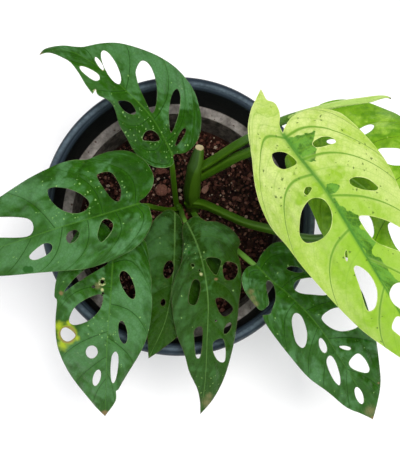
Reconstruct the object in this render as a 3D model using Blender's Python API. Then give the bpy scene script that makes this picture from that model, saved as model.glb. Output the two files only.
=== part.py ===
"""A potted Monstera adansonii: a nursery pot, its potting mix, two stems, the leaf stalks and the leaves.

Units are metres and +Z is up. The origin is the middle of the flat underside of the pot.

The leaves and stalks are drawn on one sheet, seen from EYE, with x to the right and y down. The sheet
crosses the pot's rim plane at SHEET_MIDDLE, and there one sheet unit is about 0.7 mm. A point of the
drawing becomes a point in space by giving its height above the floor: it lies where the line of sight
through the sheet reaches that height. Heights are in millimetres.
"""
import math
import random
from dataclasses import dataclass, field

import bmesh
import bpy
from mathutils import Vector
from mathutils.geometry import delaunay_2d_cdt

MM = 0.001
CLEARANCE = 0.0003

# Pot
POT_HEIGHT = 0.160
RIM_RADIUS = 0.100
RIM_WIDTH = 0.0085
LIP_DROP = 0.012
LEDGE_DROP = 0.031
LEDGE_INNER_RADIUS = 0.080
BASE_RADIUS = 0.067
WALL = 0.0015
BASE_THICKNESS = 0.0020
CHANNEL_HEIGHT = 0.0040
CHANNEL_RADII = (0.044, 0.060)
SQUEEZE = 0.987
POT_SIDES = 56
DRAIN_HOLES = 8
DRAIN_RADIUS = 0.0045

# Potting mix
SOIL_LEVEL = 0.102
SOIL_CROWN = 0.002
SOIL_RINGS = 15
GRAIN_RELIEF = 0.0016
SOIL_SEED = 11

# The drawing sheet
EYE = Vector((-0.016, -0.093, 0.790))
SHEET_AIM = Vector((0.015, -0.011, POT_HEIGHT))
SHEET_MIDDLE = (200.0, 228.5)
SHEET_DISTANCE = 890.0
SHEET_MM = 0.71

# Leaves
BLADE_THICKNESS = 0.0008
RIB_DEPTH = 0.0009
RIB_TAPER = 0.75
RIB_HALF_WIDTH = 1.6
FOLD_SOFTNESS = 3.0
SEAT_SHARE = 0.035
BLADE_GRID = 12.5
BLADE_GRID_MARGIN = 4.5
SPINE_MARGIN = 6.0
STALK_SIDES = 8
STEM_SIDES = 10
CUTTER_SIDES = 12

LEAF_GREEN = (0.045, 0.170, 0.030)
LEAF_LIME = (0.480, 0.680, 0.110)
LEAF_BRIGHT = (0.150, 0.340, 0.020)
STALK_GREEN = (0.080, 0.210, 0.015)
STEM_GREEN = (0.050, 0.130, 0.010)
POT_GREY = (0.022, 0.028, 0.036)
SOIL_BROWN = (0.075, 0.035, 0.026)


@dataclass
class Leaf:
    """One blade: its outline runs from the tip round to the tip, its spine from the stalk to the tip."""

    name: str
    spine: list
    outline: list
    windows: list
    slits: list = field(default_factory=list)
    fall_left: tuple = (-0.20, -0.25)
    fall_right: tuple = (-0.20, -0.25)
    wave: tuple = (0.0, 2.0, 0.0)
    color: tuple = LEAF_GREEN


@dataclass
class Stalk:
    """A tapered round stalk through sheet points with heights; tip_leaf names the blade that it carries."""

    name: str
    path: list
    radii: tuple
    tip_leaf: str = ""
    cut_by: str = ""
    color: tuple = STALK_GREEN


LEAVES = [
    Leaf(
        name="leaf_upper_left",
        spine=[(173, 156, 199), (152, 118, 203), (122, 87, 203), (91, 62, 198), (62, 49.5, 190), (39.5, 54.5, 182)],
        outline=[
            (39.5, 54.5), (46, 48.5), (63, 45.5), (81, 47), (100, 43.5), (118, 43), (138, 48), (157, 55.5),
            (173, 65.5), (185, 77.5), (194, 91), (199, 106), (201.5, 119), (199.5, 135), (193, 147), (184, 153),
            (175, 154), (173, 157), (174, 162), (171, 166), (163, 168), (152, 166), (142, 160), (134, 151),
            (129, 142), (124, 133), (119, 124), (116, 113), (112, 104), (106, 99), (98, 95), (95.5, 89),
            (95.5, 89), (92.5, 94), (92.5, 94), (86, 85), (78, 72), (70, 62), (58, 55.5), (48, 52.5), (39.5, 54.5),
        ],
        windows=[
            [(152, 113), (146, 102), (141, 91), (137, 80), (136, 70), (141, 61), (148, 63), (154, 74), (157, 90),
             (156, 105)],
            [(118, 102), (123, 100.5), (130, 102.5), (135, 109), (135.5, 114), (130, 114), (124, 110.5)],
            [(142.5, 139.5), (145, 132.5), (150, 130), (156, 132.5), (160, 139.5), (155, 141.5), (148, 141)],
        ],
        slits=[
            (99.5, 79.5, 79.5, 66.5, 8, 0.35), (103.5, 70, 95, 57, 4.5, 0.5), (119.5, 84, 102.5, 50.5, 12.5, 0.5),
            (171, 133, 177, 89, 10.5, 0.62), (175.5, 146, 185.5, 128, 5, 0.6),
        ],
        fall_left=(-0.22, -0.20),
        fall_right=(-0.34, -0.20),
        wave=(1.8, 2.5, 0.4),
    ),
    Leaf(
        name="leaf_left",
        spine=[(139, 203.5, 206), (98, 216, 211), (61, 227, 209), (0, 247, 199), (-60, 262, 183)],
        outline=[
            (-60, 262), (-48, 246), (-32, 224), (-16, 208), (0, 197), (15, 187), (31, 177), (49, 168), (61, 163),
            (74, 160), (87, 159.5), (100, 154.5), (112, 151), (128, 151), (141, 157.5), (149, 166), (153.5, 177),
            (152, 187), (146, 196), (139, 202), (148, 205.5), (151, 214), (152, 222), (146, 236), (136, 247),
            (122, 255.5), (107, 262), (87, 268.5), (61, 271), (36, 273), (15, 275), (-4, 276), (-24, 274),
            (-42, 268), (-60, 262),
        ],
        windows=[
            [(98, 174), (110, 172), (117, 180), (121, 190), (119, 201), (112, 199), (105, 190), (98.5, 180)],
            [(48.5, 189), (61, 187.5), (77, 192), (88.5, 201), (86.5, 209.5), (75.5, 213.5), (61, 209.5), (50, 199)],
            [(33.5, 227.5), (27, 236.5), (0, 237.5), (-18, 236), (-26, 229), (-17, 220), (0, 217), (27, 218.5)],
            [(66, 238), (69, 232), (76, 230), (79.5, 234), (75, 241), (69, 243)],
            [(29.5, 255.5), (43, 244), (51, 244), (52, 249.5), (46, 255.5), (34, 260)],
            [(98, 232), (102, 221), (108, 219), (113, 224), (111, 232), (102, 242), (98, 238)],
        ],
        fall_left=(-0.16, -0.22),
        fall_right=(-0.14, -0.22),
        wave=(2.0, 2.2, 1.2),
    ),
    Leaf(
        name="leaf_lower_left",
        spine=[(113, 258, 190), (111, 291, 191), (109, 317, 187), (107, 345, 178), (106.5, 372, 166), (105, 416, 142)],
        outline=[
            (105, 416), (97, 408), (86, 395), (72, 377), (62, 359), (56.5, 341), (55.5, 320), (57, 301), (54.5, 296),
            (56, 281), (62, 262), (69, 246), (79, 229), (90, 219.5), (99, 220.5), (107, 226.5), (111, 233),
            (112, 242), (112, 250), (113, 256), (118, 250), (128, 240), (138, 236), (146, 243), (150.5, 271),
            (152, 296), (151, 317), (147, 337), (140, 353), (131, 368), (123, 381), (118.5, 389), (116, 391.5),
            (115.5, 401), (105, 416),
        ],
        windows=[
            [(64, 292), (74, 285), (86, 277), (98, 270), (107, 264), (106, 259), (97, 262), (87, 268), (77, 276),
             (68, 286)],
            [(69, 320), (75, 307), (88, 298), (102, 294.5), (101.5, 306), (96, 314.5), (87, 321.5), (74, 325)],
            [(60.5, 334.5), (62.5, 328.5), (68, 328), (75.5, 335), (70, 341), (64, 340.5)],
        ],
        slits=[
            (93, 345.5, 90.5, 358.5, 12, 0.5), (99, 369.5, 94.5, 386, 7.5, 0.5), (115.5, 351.5, 113, 383.5, 7.5, 0.4),
            (121, 320.5, 124.5, 344, 9, 0.5), (122, 271, 133.5, 299, 12, 0.45),
        ],
        fall_left=(-0.20, -0.30),
        fall_right=(-0.16, -0.30),
        wave=(1.5, 2.0, 0.0),
    ),
    Leaf(
        name="leaf_narrow",
        spine=[(175, 213, 172), (174, 262, 175), (170, 300, 172), (164, 325, 169), (148.5, 358.5, 165)],
        outline=[
            (148.5, 358.5), (148, 349), (147, 330), (143, 305), (138, 280), (137, 258), (144, 241), (153, 221.5),
            (163, 212), (170, 209.5), (175.5, 212.5), (181, 219), (184, 230), (188, 240), (197, 246), (208, 251),
            (218, 257), (221.5, 266), (220, 276), (215, 286), (210, 295), (203, 305), (196, 314), (190, 322),
            (184, 330), (174.5, 339), (161, 350), (148.5, 358.5),
        ],
        windows=[],
        slits=[(170.5, 260.5, 166.5, 278.5, 10, 0.5), (163.5, 299, 162.5, 306, 5, 0.5)],
        fall_left=(-0.10, -0.14),
        fall_right=(-0.12, -0.14),
    ),
    Leaf(
        name="leaf_centre",
        spine=[(187, 223, 181), (196, 242, 187), (203, 265, 190), (208, 300, 188), (207, 340, 181), (205, 382, 165),
               (200.3, 414, 147)],
        outline=[
            (200.3, 414), (200, 402), (197, 388), (189, 371), (184.5, 354), (177, 335), (173, 315), (171.5, 295),
            (174.5, 279), (181, 263), (183, 246), (182, 232), (183, 225), (187, 221), (196, 216), (206, 221),
            (218, 222), (230, 228), (238, 237), (240, 243.5), (237, 252), (240, 262), (241.5, 280), (239.5, 298),
            (237, 323), (232.5, 349), (224, 378), (213, 399), (200.3, 414),
        ],
        windows=[
            [(188.5, 301), (190, 289), (194, 280), (199, 281), (200, 290), (196.5, 303), (192, 305)],
            [(194.5, 330), (201.5, 327), (202.5, 340), (200, 357), (196, 356.5), (194.5, 343)],
            [(215.5, 299.5), (222, 298), (231, 305), (232.5, 311), (224.5, 316.5), (219, 311)],
            [(222.5, 267), (227, 261.5), (236, 264), (238, 271), (234, 279), (225, 279)],
            [(213.5, 342), (222.5, 338.5), (225.5, 349), (224.5, 361.5), (218.5, 361), (213.5, 352.5)],
            [(206, 259), (214, 257.5), (221, 260.5), (219.5, 268), (216, 275), (210, 269)],
        ],
        slits=[(224.5, 334, 230.5, 322.5, 6, 0.5), (191, 264.5, 194.5, 266, 3, 0.5)],
        fall_left=(-0.34, -0.34),
        fall_right=(-0.26, -0.30),
        wave=(1.6, 2.4, 2.0),
    ),
    Leaf(
        name="leaf_lower_right",
        spine=[(257, 266, 187), (271, 280, 191), (289, 295, 193), (315, 322, 189), (340, 358, 177), (364, 398, 158),
               (372.8, 419.4, 148)],
        outline=[
            (372.8, 419.4), (362, 414), (346, 407), (328, 392), (308, 377), (289, 355), (275, 337), (266, 324),
            (262.5, 315), (262.5, 315), (270, 314), (273, 307), (275.5, 299), (275, 290), (272, 282), (268, 280.5),
            (266, 284), (267.5, 294), (269, 303), (266, 307.5), (260, 310), (250, 299), (243.5, 288), (242, 277),
            (247, 267.5), (256, 264), (262, 254), (272, 244), (284, 242), (300, 246), (318, 256), (336, 268),
            (352, 279), (362, 292), (369, 312), (375.5, 337), (379, 362), (380.5, 383), (377.5, 402), (372.8, 419.4),
        ],
        windows=[
            [(286.5, 268), (292, 266), (300, 268), (303, 272), (296, 272.5), (289, 270.5)],
            [(293.5, 288), (296, 281.5), (303, 278.5), (314, 278), (326, 282), (332, 290), (326, 295), (312, 294.5),
             (300, 293)],
            [(321.5, 318), (328, 311), (338, 307.5), (350, 311), (358, 318), (360, 325), (351, 330), (339, 331),
             (328, 326)],
            [(297, 313), (302.5, 318), (307, 332), (306, 344), (302, 348), (295.5, 341), (292, 324), (293, 315.5)],
            [(330, 355.5), (335.5, 361.5), (340, 376), (339.5, 385.5), (332.5, 378), (326.5, 362.5)],
            [(349, 362), (357, 353.5), (364.5, 358.5), (369.5, 369), (366, 373), (353, 369)],
        ],
        slits=[(320, 338, 325.5, 353, 7, 0.55), (339, 346.5, 351, 349, 4, 0.6), (356, 387, 362.5, 404, 7.5, 0.5)],
        fall_left=(-0.18, -0.26),
        fall_right=(-0.22, -0.28),
        wave=(1.6, 2.3, 0.8),
    ),
    Leaf(
        name="leaf_variegated",
        spine=[(283, 134, 268), (299.5, 157, 273), (325, 189, 276), (347, 224.5, 273), (381, 281, 262),
               (400, 313, 253), (430, 371, 232)],
        outline=[
            (430, 371), (415, 366), (400, 357.5), (372, 338), (353, 322), (328, 296), (302, 266), (287, 246),
            (271, 227), (260, 204), (254.5, 182), (252, 158), (249, 140), (248, 126), (251, 110), (256, 99),
            (260.8, 89), (260.8, 89), (264, 95), (267, 100), (273, 102), (277, 106), (280, 115), (279.5, 125),
            (283, 133), (283, 133), (285, 127), (291, 118), (300, 112.5), (311, 109.5), (323, 109), (335, 111),
            (345, 116), (361, 130.5), (378, 150), (390, 168), (400, 190), (412, 215), (424, 246), (434, 280),
            (439, 315), (438, 345), (430, 371),
        ],
        windows=[
            [(272.5, 153.5), (285, 152.5), (297, 162), (290, 167.5), (282, 169), (274.5, 163.5)],
            [(304, 192.5), (306.5, 187), (312, 188), (307.5, 195)],
            [(299.5, 226), (302, 210.5), (311, 199), (323.5, 199.5), (331.5, 212), (330.5, 228), (321.5, 239),
             (307.5, 243), (300.5, 237)],
            [(313, 142.5), (321.5, 137), (330.5, 137), (336, 141.5), (330.5, 144.5), (316.5, 147.5)],
            [(349.5, 180), (356, 177), (368, 179), (378, 187), (375, 190.5), (363, 189.5), (352, 185.5)],
            [(359, 218), (365, 215.5), (377, 217.5), (390, 222), (404, 230), (420, 241), (431, 254), (427, 262),
             (415, 259), (400, 251.5), (388, 247), (377, 242.5), (368, 233)],
            [(354, 269), (358.5, 266), (370, 275), (377, 290.5), (376, 305), (371, 311), (366, 308), (359.5, 286)],
            [(389.5, 294), (393, 285.5), (401, 282.5), (413, 286), (424, 298), (428, 311), (420, 316), (408, 313),
             (400, 308.5), (393, 303)],
            [(392, 328), (396, 317), (403, 319), (412, 331), (414, 343), (406, 340), (399, 335)],
        ],
        slits=[(346, 250, 347, 261.5, 2.6, 0.5)],
        fall_left=(-0.16, -0.26),
        fall_right=(-0.50, -0.42),
        wave=(1.6, 2.0, 0.5),
        color=LEAF_LIME,
    ),
    Leaf(
        name="leaf_back",
        spine=[(340, 170, 228), (352, 179, 231), (365, 188.5, 232), (400, 215, 229), (432, 250, 220), (460, 296, 203)],
        outline=[
            (460, 296), (440, 288), (418, 276), (392, 267), (364, 263), (338, 253), (322, 234), (315, 218),
            (308, 203), (297, 187), (288, 172), (285, 160), (289, 153), (299, 150), (318, 158), (339, 170),
            (322, 154), (305, 142), (301, 132), (308, 118), (317, 107), (325, 102.5), (336, 99.8), (347, 99.5),
            (358, 100.5), (368, 102.5), (386, 109.5), (400, 116), (418, 132), (434, 156), (446, 186), (456, 222),
            (461, 260), (460, 296),
        ],
        windows=[
            [(378, 150), (390, 148), (403, 149.5), (415, 155), (412, 163), (400, 165.5), (386, 163)],
            [(358, 214), (366, 213), (372, 221), (374, 233), (370, 239), (362, 230)],
            [(388, 225), (398, 222.5), (408, 232), (412, 248), (404, 254), (394, 244)],
        ],
        slits=[(352, 137, 374, 125.5, 8, 0.6), (326.5, 141.5, 337, 141.5, 5, 0.5)],
        fall_left=(-0.20, -0.24),
        fall_right=(-0.22, -0.26),
        wave=(1.8, 2.2, 0.3),
        color=LEAF_BRIGHT,
    ),
]

STEMS = [
    Stalk(
        name="main_stem",
        path=[(192, 225, 66), (192, 214, 92), (192, 204, 114), (191.5, 190, 134), (194, 170, 156), (196.5, 160, 164),
              (199.3, 147, 173)],
        radii=(4.9, 5.2, 5.5, 5.9, 5.3, 4.6, 2.8),
        color=STEM_GREEN,
    ),
    Stalk(
        name="side_shoot",
        path=[(179, 222, 68), (179, 212, 98), (178.5, 209, 112), (178.5, 206.5, 121), (178.5, 205.5, 124)],
        radii=(3.2, 3.4, 3.4, 2.7, 1.2),
        color=STEM_GREEN,
    ),
]

STALKS = [
    Stalk(
        name="stalk_upper_left",
        path=[(178.5, 209.5, 113), (176, 202, 122), (174.5, 190, 142), (173, 176, 166), (172, 165, 185)],
        radii=(2.1, 2.1, 2.1, 2.0, 1.8, 1.4),
        tip_leaf="leaf_upper_left",
        cut_by="side_shoot",
    ),
    Stalk(
        name="stalk_left",
        path=[(178.5, 208.5, 116), (168, 210, 130), (157, 208.3, 158), (147, 206, 187)],
        radii=(1.9, 1.9, 1.9, 1.8, 1.4),
        tip_leaf="leaf_left",
        cut_by="side_shoot",
    ),
    Stalk(
        name="stalk_lower_left",
        path=[(178.5, 210, 109.5), (168, 217, 118), (152, 229, 140), (134, 244, 166), (120, 255, 181)],
        radii=(1.8, 1.8, 1.8, 1.8, 1.7, 1.4),
        tip_leaf="leaf_lower_left",
        cut_by="side_shoot",
    ),
    Stalk(
        name="stalk_narrow",
        path=[(179, 210, 113), (180, 218, 122), (178, 220.5, 140), (175.8, 217.5, 160)],
        radii=(1.6, 1.6, 1.6, 1.5, 1.2),
        tip_leaf="leaf_narrow",
        cut_by="side_shoot",
    ),
    Stalk(
        name="stalk_centre",
        path=[(178.5, 208, 119), (181.5, 211, 130), (182, 214.5, 152), (184.5, 220, 172)],
        radii=(1.8, 1.8, 1.8, 1.7, 1.4),
        tip_leaf="leaf_centre",
        cut_by="side_shoot",
    ),
    Stalk(
        name="stalk_lower_right",
        path=[(191.5, 208, 108), (197, 218, 115), (209, 228.5, 132), (224, 240.5, 154), (238, 251.5, 173),
              (249, 260.5, 182)],
        radii=(2.2, 2.2, 2.2, 2.1, 2.0, 1.9, 1.5),
        tip_leaf="leaf_lower_right",
        cut_by="main_stem",
    ),
    Stalk(
        name="stalk_back",
        path=[(191, 202, 118), (202, 202.5, 127), (214, 208.5, 136), (230, 216, 147), (248, 223.5, 159), (270, 229, 172),
              (300, 237, 187), (325, 237, 197), (342, 224, 206), (349, 203, 215), (345, 184, 222)],
        radii=(3.3, 3.3, 3.3, 3.2, 3.1, 3.0, 2.8, 2.6, 2.4, 2.2, 2.0, 1.5),
        tip_leaf="leaf_back",
        cut_by="main_stem",
    ),
    Stalk(
        name="stalk_variegated",
        path=[(193, 181, 143), (203, 175.5, 149), (213, 170, 159), (222.5, 165, 172), (236, 157.5, 196),
              (252, 151, 221), (270, 140, 249)],
        radii=(3.1, 3.2, 3.3, 3.3, 3.2, 3.0, 2.6, 1.8),
        tip_leaf="leaf_variegated",
        cut_by="main_stem",
    ),
    Stalk(
        name="new_leaf_rolled",
        path=[(195.5, 169, 153), (203, 166, 160), (214, 159.5, 171), (222.5, 154.3, 183), (236, 145.5, 203),
              (251, 137, 220), (280, 122, 242), (297, 115.6, 250), (318, 109.3, 257), (341, 103.6, 262),
              (368, 99.6, 267), (378, 97.6, 268.5), (386, 96.9, 269), (391, 98.6, 269)],
        radii=(2.9, 2.9, 3.0, 3.0, 3.0, 3.0, 2.8, 2.5, 2.2, 1.9, 1.8, 1.3, 0.7, 0.4),
        cut_by="main_stem",
        color=LEAF_BRIGHT,
    ),
]


def clear_scene():
    """Removes every object that the file starts with."""
    for thing in list(bpy.data.objects):
        bpy.data.objects.remove(thing, do_unlink=True)


def material(name, color, roughness=0.5, metallic=0.0):
    """A plain Principled BSDF."""
    finish = bpy.data.materials.new(name)
    finish.use_nodes = True
    shader = finish.node_tree.nodes["Principled BSDF"]
    shader.inputs["Base Color"].default_value = (*color, 1.0)
    shader.inputs["Roughness"].default_value = roughness
    shader.inputs["Metallic"].default_value = metallic
    return finish


def add_object(name, points, faces, finish, smooth_angle=40):
    """Makes a named mesh object from points and faces, with its faces pointing out."""
    mesh = bpy.data.meshes.new(name)
    mesh.from_pydata([tuple(p) for p in points], [], faces)
    mesh.validate()
    work = bmesh.new()
    work.from_mesh(mesh)
    bmesh.ops.recalc_face_normals(work, faces=work.faces)
    work.to_mesh(mesh)
    work.free()
    mesh.shade_smooth()
    mesh.set_sharp_from_angle(angle=math.radians(smooth_angle))
    mesh.materials.append(finish)
    thing = bpy.data.objects.new(name, mesh)
    bpy.context.scene.collection.objects.link(thing)
    return thing


def cut(thing, cutter):
    """Cuts the cutter's shape out of the thing for good, and removes the cutter."""
    cutter.hide_render = True
    cutter.display_type = "WIRE"
    step = thing.modifiers.new("cut", "BOOLEAN")
    step.operation = "DIFFERENCE"
    step.object = cutter
    bpy.context.view_layer.update()
    graph = bpy.context.evaluated_depsgraph_get()
    made = bpy.data.meshes.new_from_object(thing.evaluated_get(graph))
    thing.modifiers.remove(step)
    thing.data = made
    bpy.data.objects.remove(cutter, do_unlink=True)


def sight_axes():
    """The sheet's right, up and forward directions."""
    forward = (SHEET_AIM - EYE).normalized()
    right = forward.cross(Vector((0.0, 1.0, 0.0))).normalized()
    return right, right.cross(forward), forward


def on_sheet(x, y, height):
    """The point in space at a height in millimetres whose line of sight crosses the sheet at x, y."""
    right, up, forward = sight_axes()
    sight = (x - SHEET_MIDDLE[0]) * right + (SHEET_MIDDLE[1] - y) * up + SHEET_DISTANCE * forward
    return EYE + sight * ((height * MM - EYE.z) / sight.z)


def smooth_value(at, knots, values):
    """A smooth curve through the values at the knots, carried on straight beyond both ends."""
    slopes = []
    last = len(knots) - 1
    for i in range(len(knots)):
        before, after = max(i - 1, 0), min(i + 1, last)
        slopes.append((values[after] - values[before]) / (knots[after] - knots[before]))
    if at <= knots[0]:
        return values[0] + slopes[0] * (at - knots[0])
    if at >= knots[last]:
        return values[last] + slopes[last] * (at - knots[last])
    i = next(k for k in range(last) if at <= knots[k + 1])
    span = knots[i + 1] - knots[i]
    u = (at - knots[i]) / span
    return (
        values[i] * (1 + 2 * u) * (1 - u) ** 2
        + values[i + 1] * u * u * (3 - 2 * u)
        + span * slopes[i] * u * (1 - u) ** 2
        + span * slopes[i + 1] * u * u * (u - 1)
    )


def smooth_points(points, per_span, closed):
    """Points along a smooth curve through the given ones; a point given twice makes a corner."""
    points = [Vector(p) for p in points]
    count = len(points)
    spans = count if closed else count - 1
    made = []
    for i in range(spans):
        if closed:
            a, b, c, d = (points[(i + k) % count] for k in (-1, 0, 1, 2))
        else:
            a, b = points[max(i - 1, 0)], points[i]
            c, d = points[i + 1], points[min(i + 2, count - 1)]
        if (c - b).length < 1e-9:
            continue
        for k in range(per_span):
            u = k / per_span
            made.append(
                0.5 * (2 * b + (c - a) * u + (2 * a - 5 * b + 4 * c - d) * u * u + (3 * b - a - 3 * c + d) * u**3)
            )
    if not closed:
        made.append(points[-1])
    return made


def slit_loop(x0, y0, x1, y1, width, belly, count=8):
    """A rounded slit between two ends; belly says how far along it is widest."""
    start, end = Vector((x0, y0)), Vector((x1, y1))
    along = end - start
    across = Vector((-along.y, along.x)).normalized()
    power = math.log(0.5) / math.log(belly)
    sides = ([], [])
    half = count // 2
    for k in range(1, half):
        u = 0.5 - 0.5 * math.cos(math.pi * k / half)
        v = u**power
        bulge = width * math.sqrt(v * (1 - v))
        sides[0].append(start + along * u + across * bulge)
        sides[1].append(start + along * u - across * bulge)
    return [start] + sides[0] + [end] + sides[1][::-1]


def inside(point, loop):
    """Whether a sheet point lies inside a closed loop."""
    x, y = point
    found = False
    for (ax, ay), (bx, by) in zip(loop, loop[1:] + loop[:1]):
        if (ay > y) != (by > y) and x < (bx - ax) * (y - ay) / (by - ay) + ax:
            found = not found
    return found


class Blade:
    """Turns a Leaf's drawing into a thin closed solid."""

    def __init__(self, leaf):
        self.leaf = leaf
        start, end = Vector(leaf.spine[0][:2]), Vector(leaf.spine[-1][:2])
        self.start = start
        self.length = (end - start).length
        self.along = (end - start) / self.length
        self.right = Vector((-self.along.y, self.along.x))
        offsets = [Vector(p[:2]) - start for p in leaf.spine]
        self.knots = [o.dot(self.along) / self.length for o in offsets]
        self.bend = [o.dot(self.right) for o in offsets]
        self.rise = [p[2] for p in leaf.spine]

    def place(self, x, y):
        """How far along the spine a sheet point is, and how far to its right in millimetres."""
        offset = Vector((x, y)) - self.start
        s = offset.dot(self.along) / self.length
        t = (offset.dot(self.right) - smooth_value(s, self.knots, self.bend)) * SHEET_MM
        return s, t

    def height(self, x, y):
        """The height of the blade's middle surface in millimetres."""
        s, t = self.place(x, y)
        fall = self.leaf.fall_right if t > 0 else self.leaf.fall_left
        share = min(max(s, 0.0), 1.0)
        out = math.sqrt(t * t + FOLD_SOFTNESS**2) - FOLD_SOFTNESS
        size, waves, phase = self.leaf.wave
        wave = size * (out / 25.0) ** 2 * math.sin(2 * math.pi * waves * s + phase + (0.9 if t > 0 else 0.0))
        tilt = fall[0] + (fall[1] - fall[0]) * share
        return smooth_value(s, self.knots, self.rise) + tilt * out + wave

    def point(self, x, y):
        """The blade's middle surface in space."""
        return on_sheet(x, y, self.height(x, y))

    def normal(self, x, y, step=0.8):
        """The upward unit normal of the blade."""
        across = self.point(x + step, y) - self.point(x - step, y)
        down = self.point(x, y + step) - self.point(x, y - step)
        made = across.cross(down).normalized()
        return made if made.z > 0 else -made

    def spine_xy(self, s):
        """The sheet point on the spine, s of the way along it."""
        found = self.start + self.along * (s * self.length) + self.right * smooth_value(s, self.knots, self.bend)
        return found.x, found.y

    def seat(self, start, radius):
        """Where a stalk that comes from start ends, so that its upper edge is just clear of the rib."""
        x, y = self.spine_xy(SEAT_SHARE)
        point, normal = self.point(x, y), self.normal(x, y)
        steepness = (point - start).normalized().dot(normal)
        reach = radius * math.sqrt(max(0.0, 1.0 - steepness**2))
        return point - normal * (BLADE_THICKNESS / 2 + self.rib(x, y) + CLEARANCE + reach)

    def rib(self, x, y):
        """How much thicker the blade is below its spine."""
        s, t = self.place(x, y)
        if s <= 0:
            return 0.0
        return RIB_DEPTH * (1.0 - RIB_TAPER * min(s, 1.0)) * math.exp(-((t / RIB_HALF_WIDTH) ** 2))

    def loops(self):
        """The outline and the windows as closed loops on the sheet."""
        outline = smooth_points(self.leaf.outline, 2, closed=False)[:-1]
        windows = [smooth_points(w, 1, closed=True) for w in self.leaf.windows]
        windows += [slit_loop(*slit) for slit in self.leaf.slits]
        return outline, windows

    def inner_points(self, outline, windows):
        """Sheet points inside the blade: the spine's, and a grid that keeps clear of every edge."""
        edges = outline + [p for w in windows for p in w]
        low_x, high_x = min(p.x for p in outline), max(p.x for p in outline)
        low_y, high_y = min(p.y for p in outline), max(p.y for p in outline)
        steps = int(self.length / BLADE_GRID)
        spine = [Vector(self.spine_xy(share)) for share in [SEAT_SHARE] + [k / steps for k in range(1, steps)]]
        grid = []
        row = 0
        y = low_y
        while y < high_y:
            x = low_x + (BLADE_GRID / 2 if row % 2 else 0.0)
            while x < high_x:
                grid.append(Vector((x, y)))
                x += BLADE_GRID
            y += BLADE_GRID * 0.87
            row += 1

        def clear(p, others, gap):
            return all((p - o).length > gap for o in others)

        def in_blade(p):
            return inside(p, outline) and not any(inside(p, w) for w in windows)

        spine = [p for p in spine if in_blade(p) and clear(p, edges, BLADE_GRID_MARGIN / 2)]
        grid = [p for p in grid if in_blade(p) and clear(p, edges, BLADE_GRID_MARGIN)]
        return spine + [p for p in grid if clear(p, spine, SPINE_MARGIN)]

    def build(self, finish):
        """The leaf's object: top and bottom split into the same triangles, with walls along every edge."""
        outline, windows = self.loops()
        loops = [outline] + windows
        flat = []
        edges = []
        for loop in loops:
            first = len(flat)
            flat += loop
            edges += [(first + k, first + (k + 1) % len(loop)) for k in range(len(loop))]
        flat += self.inner_points(outline, windows)
        places, _, triangles, *_ = delaunay_2d_cdt(flat, edges, [], 0, 1e-4)
        kept = []
        for triangle in triangles:
            middle = sum((places[k] for k in triangle), Vector((0.0, 0.0))) / 3
            if inside(middle, outline) and not any(inside(middle, w) for w in windows):
                kept.append(tuple(triangle))
        top, bottom = [], []
        for p in places:
            point, normal = self.point(p.x, p.y), self.normal(p.x, p.y)
            top.append(point + normal * BLADE_THICKNESS / 2)
            bottom.append(point - normal * (BLADE_THICKNESS / 2 + self.rib(p.x, p.y)))
        count = len(places)
        faces = [tuple(t) for t in kept] + [tuple(k + count for k in reversed(t)) for t in kept]
        sides = {}
        for a, b, c in kept:
            for pair in ((a, b), (b, c), (c, a)):
                sides[pair] = True
        for a, b in sides:
            if (b, a) not in sides:
                faces.append((b, a, a + count, b + count))
        used = sorted({k for f in faces for k in f})
        index = {k: i for i, k in enumerate(used)}
        points = top + bottom
        return add_object(
            self.leaf.name, [points[k] for k in used], [tuple(index[k] for k in f) for f in faces], finish
        )


def tube(name, centres, radii, finish, sides=STALK_SIDES):
    """A closed tube through the centres, its rings carried along without twist."""
    points, faces = [], []
    side = Vector((1.0, 0.0, 0.0))
    last = len(centres) - 1
    for i, centre in enumerate(centres):
        ahead = (centres[min(i + 1, last)] - centres[max(i - 1, 0)]).normalized()
        side = (side - ahead * side.dot(ahead)).normalized()
        other = ahead.cross(side)
        for k in range(sides):
            turn = 2 * math.pi * k / sides
            points.append(centre + (side * math.cos(turn) + other * math.sin(turn)) * radii[i])
    for i in range(last):
        for k in range(sides):
            a, b = i * sides + k, i * sides + (k + 1) % sides
            faces.append((a, b, b + sides, a + sides))
    faces.append(tuple(range(sides))[::-1])
    faces.append(tuple(last * sides + k for k in range(sides)))
    return add_object(name, points, faces, finish)


def clear_tube(line, widths, finish):
    """A cutter that keeps the clearance all round a stem and past both its ends."""
    ends = ((0, 1), (-1, -2))
    longer = list(line)
    for end, inner in ends:
        longer[end] = line[end] + (line[end] - line[inner]).normalized() * CLEARANCE
    return tube("cutter", longer, [w + CLEARANCE for w in widths], finish, CUTTER_SIDES)


def stalk_centres(stalk, blades, per_span=2):
    """The stalk's centre line and radii in metres, ending against the underside of its blade."""
    knots = [on_sheet(x, y, z) for x, y, z in stalk.path]
    if stalk.tip_leaf:
        knots.append(blades[stalk.tip_leaf].seat(knots[-1], stalk.radii[-1] * MM))
    centres = smooth_points(knots, per_span, closed=False)
    marks = list(range(len(stalk.radii)))
    radii = [smooth_value(k / per_span, marks, stalk.radii) * MM for k in range(len(centres))]
    return centres, radii


def build_stalk(stalk, blades, stem_lines):
    """One stalk, hollowed where it meets its stem so that it stands just clear of it."""
    centres, radii = stalk_centres(stalk, blades)
    made = tube(stalk.name, centres, radii, material(stalk.name, stalk.color, 0.42))
    if stalk.cut_by:
        cut(made, clear_tube(*stem_lines[stalk.cut_by], made.data.materials[0]))
    return made


def ring_point(radius, height, turn):
    """A point of the pot or the mix; both are pressed slightly oval."""
    return Vector((radius * SQUEEZE * math.cos(turn), radius / SQUEEZE * math.sin(turn), height))


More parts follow.
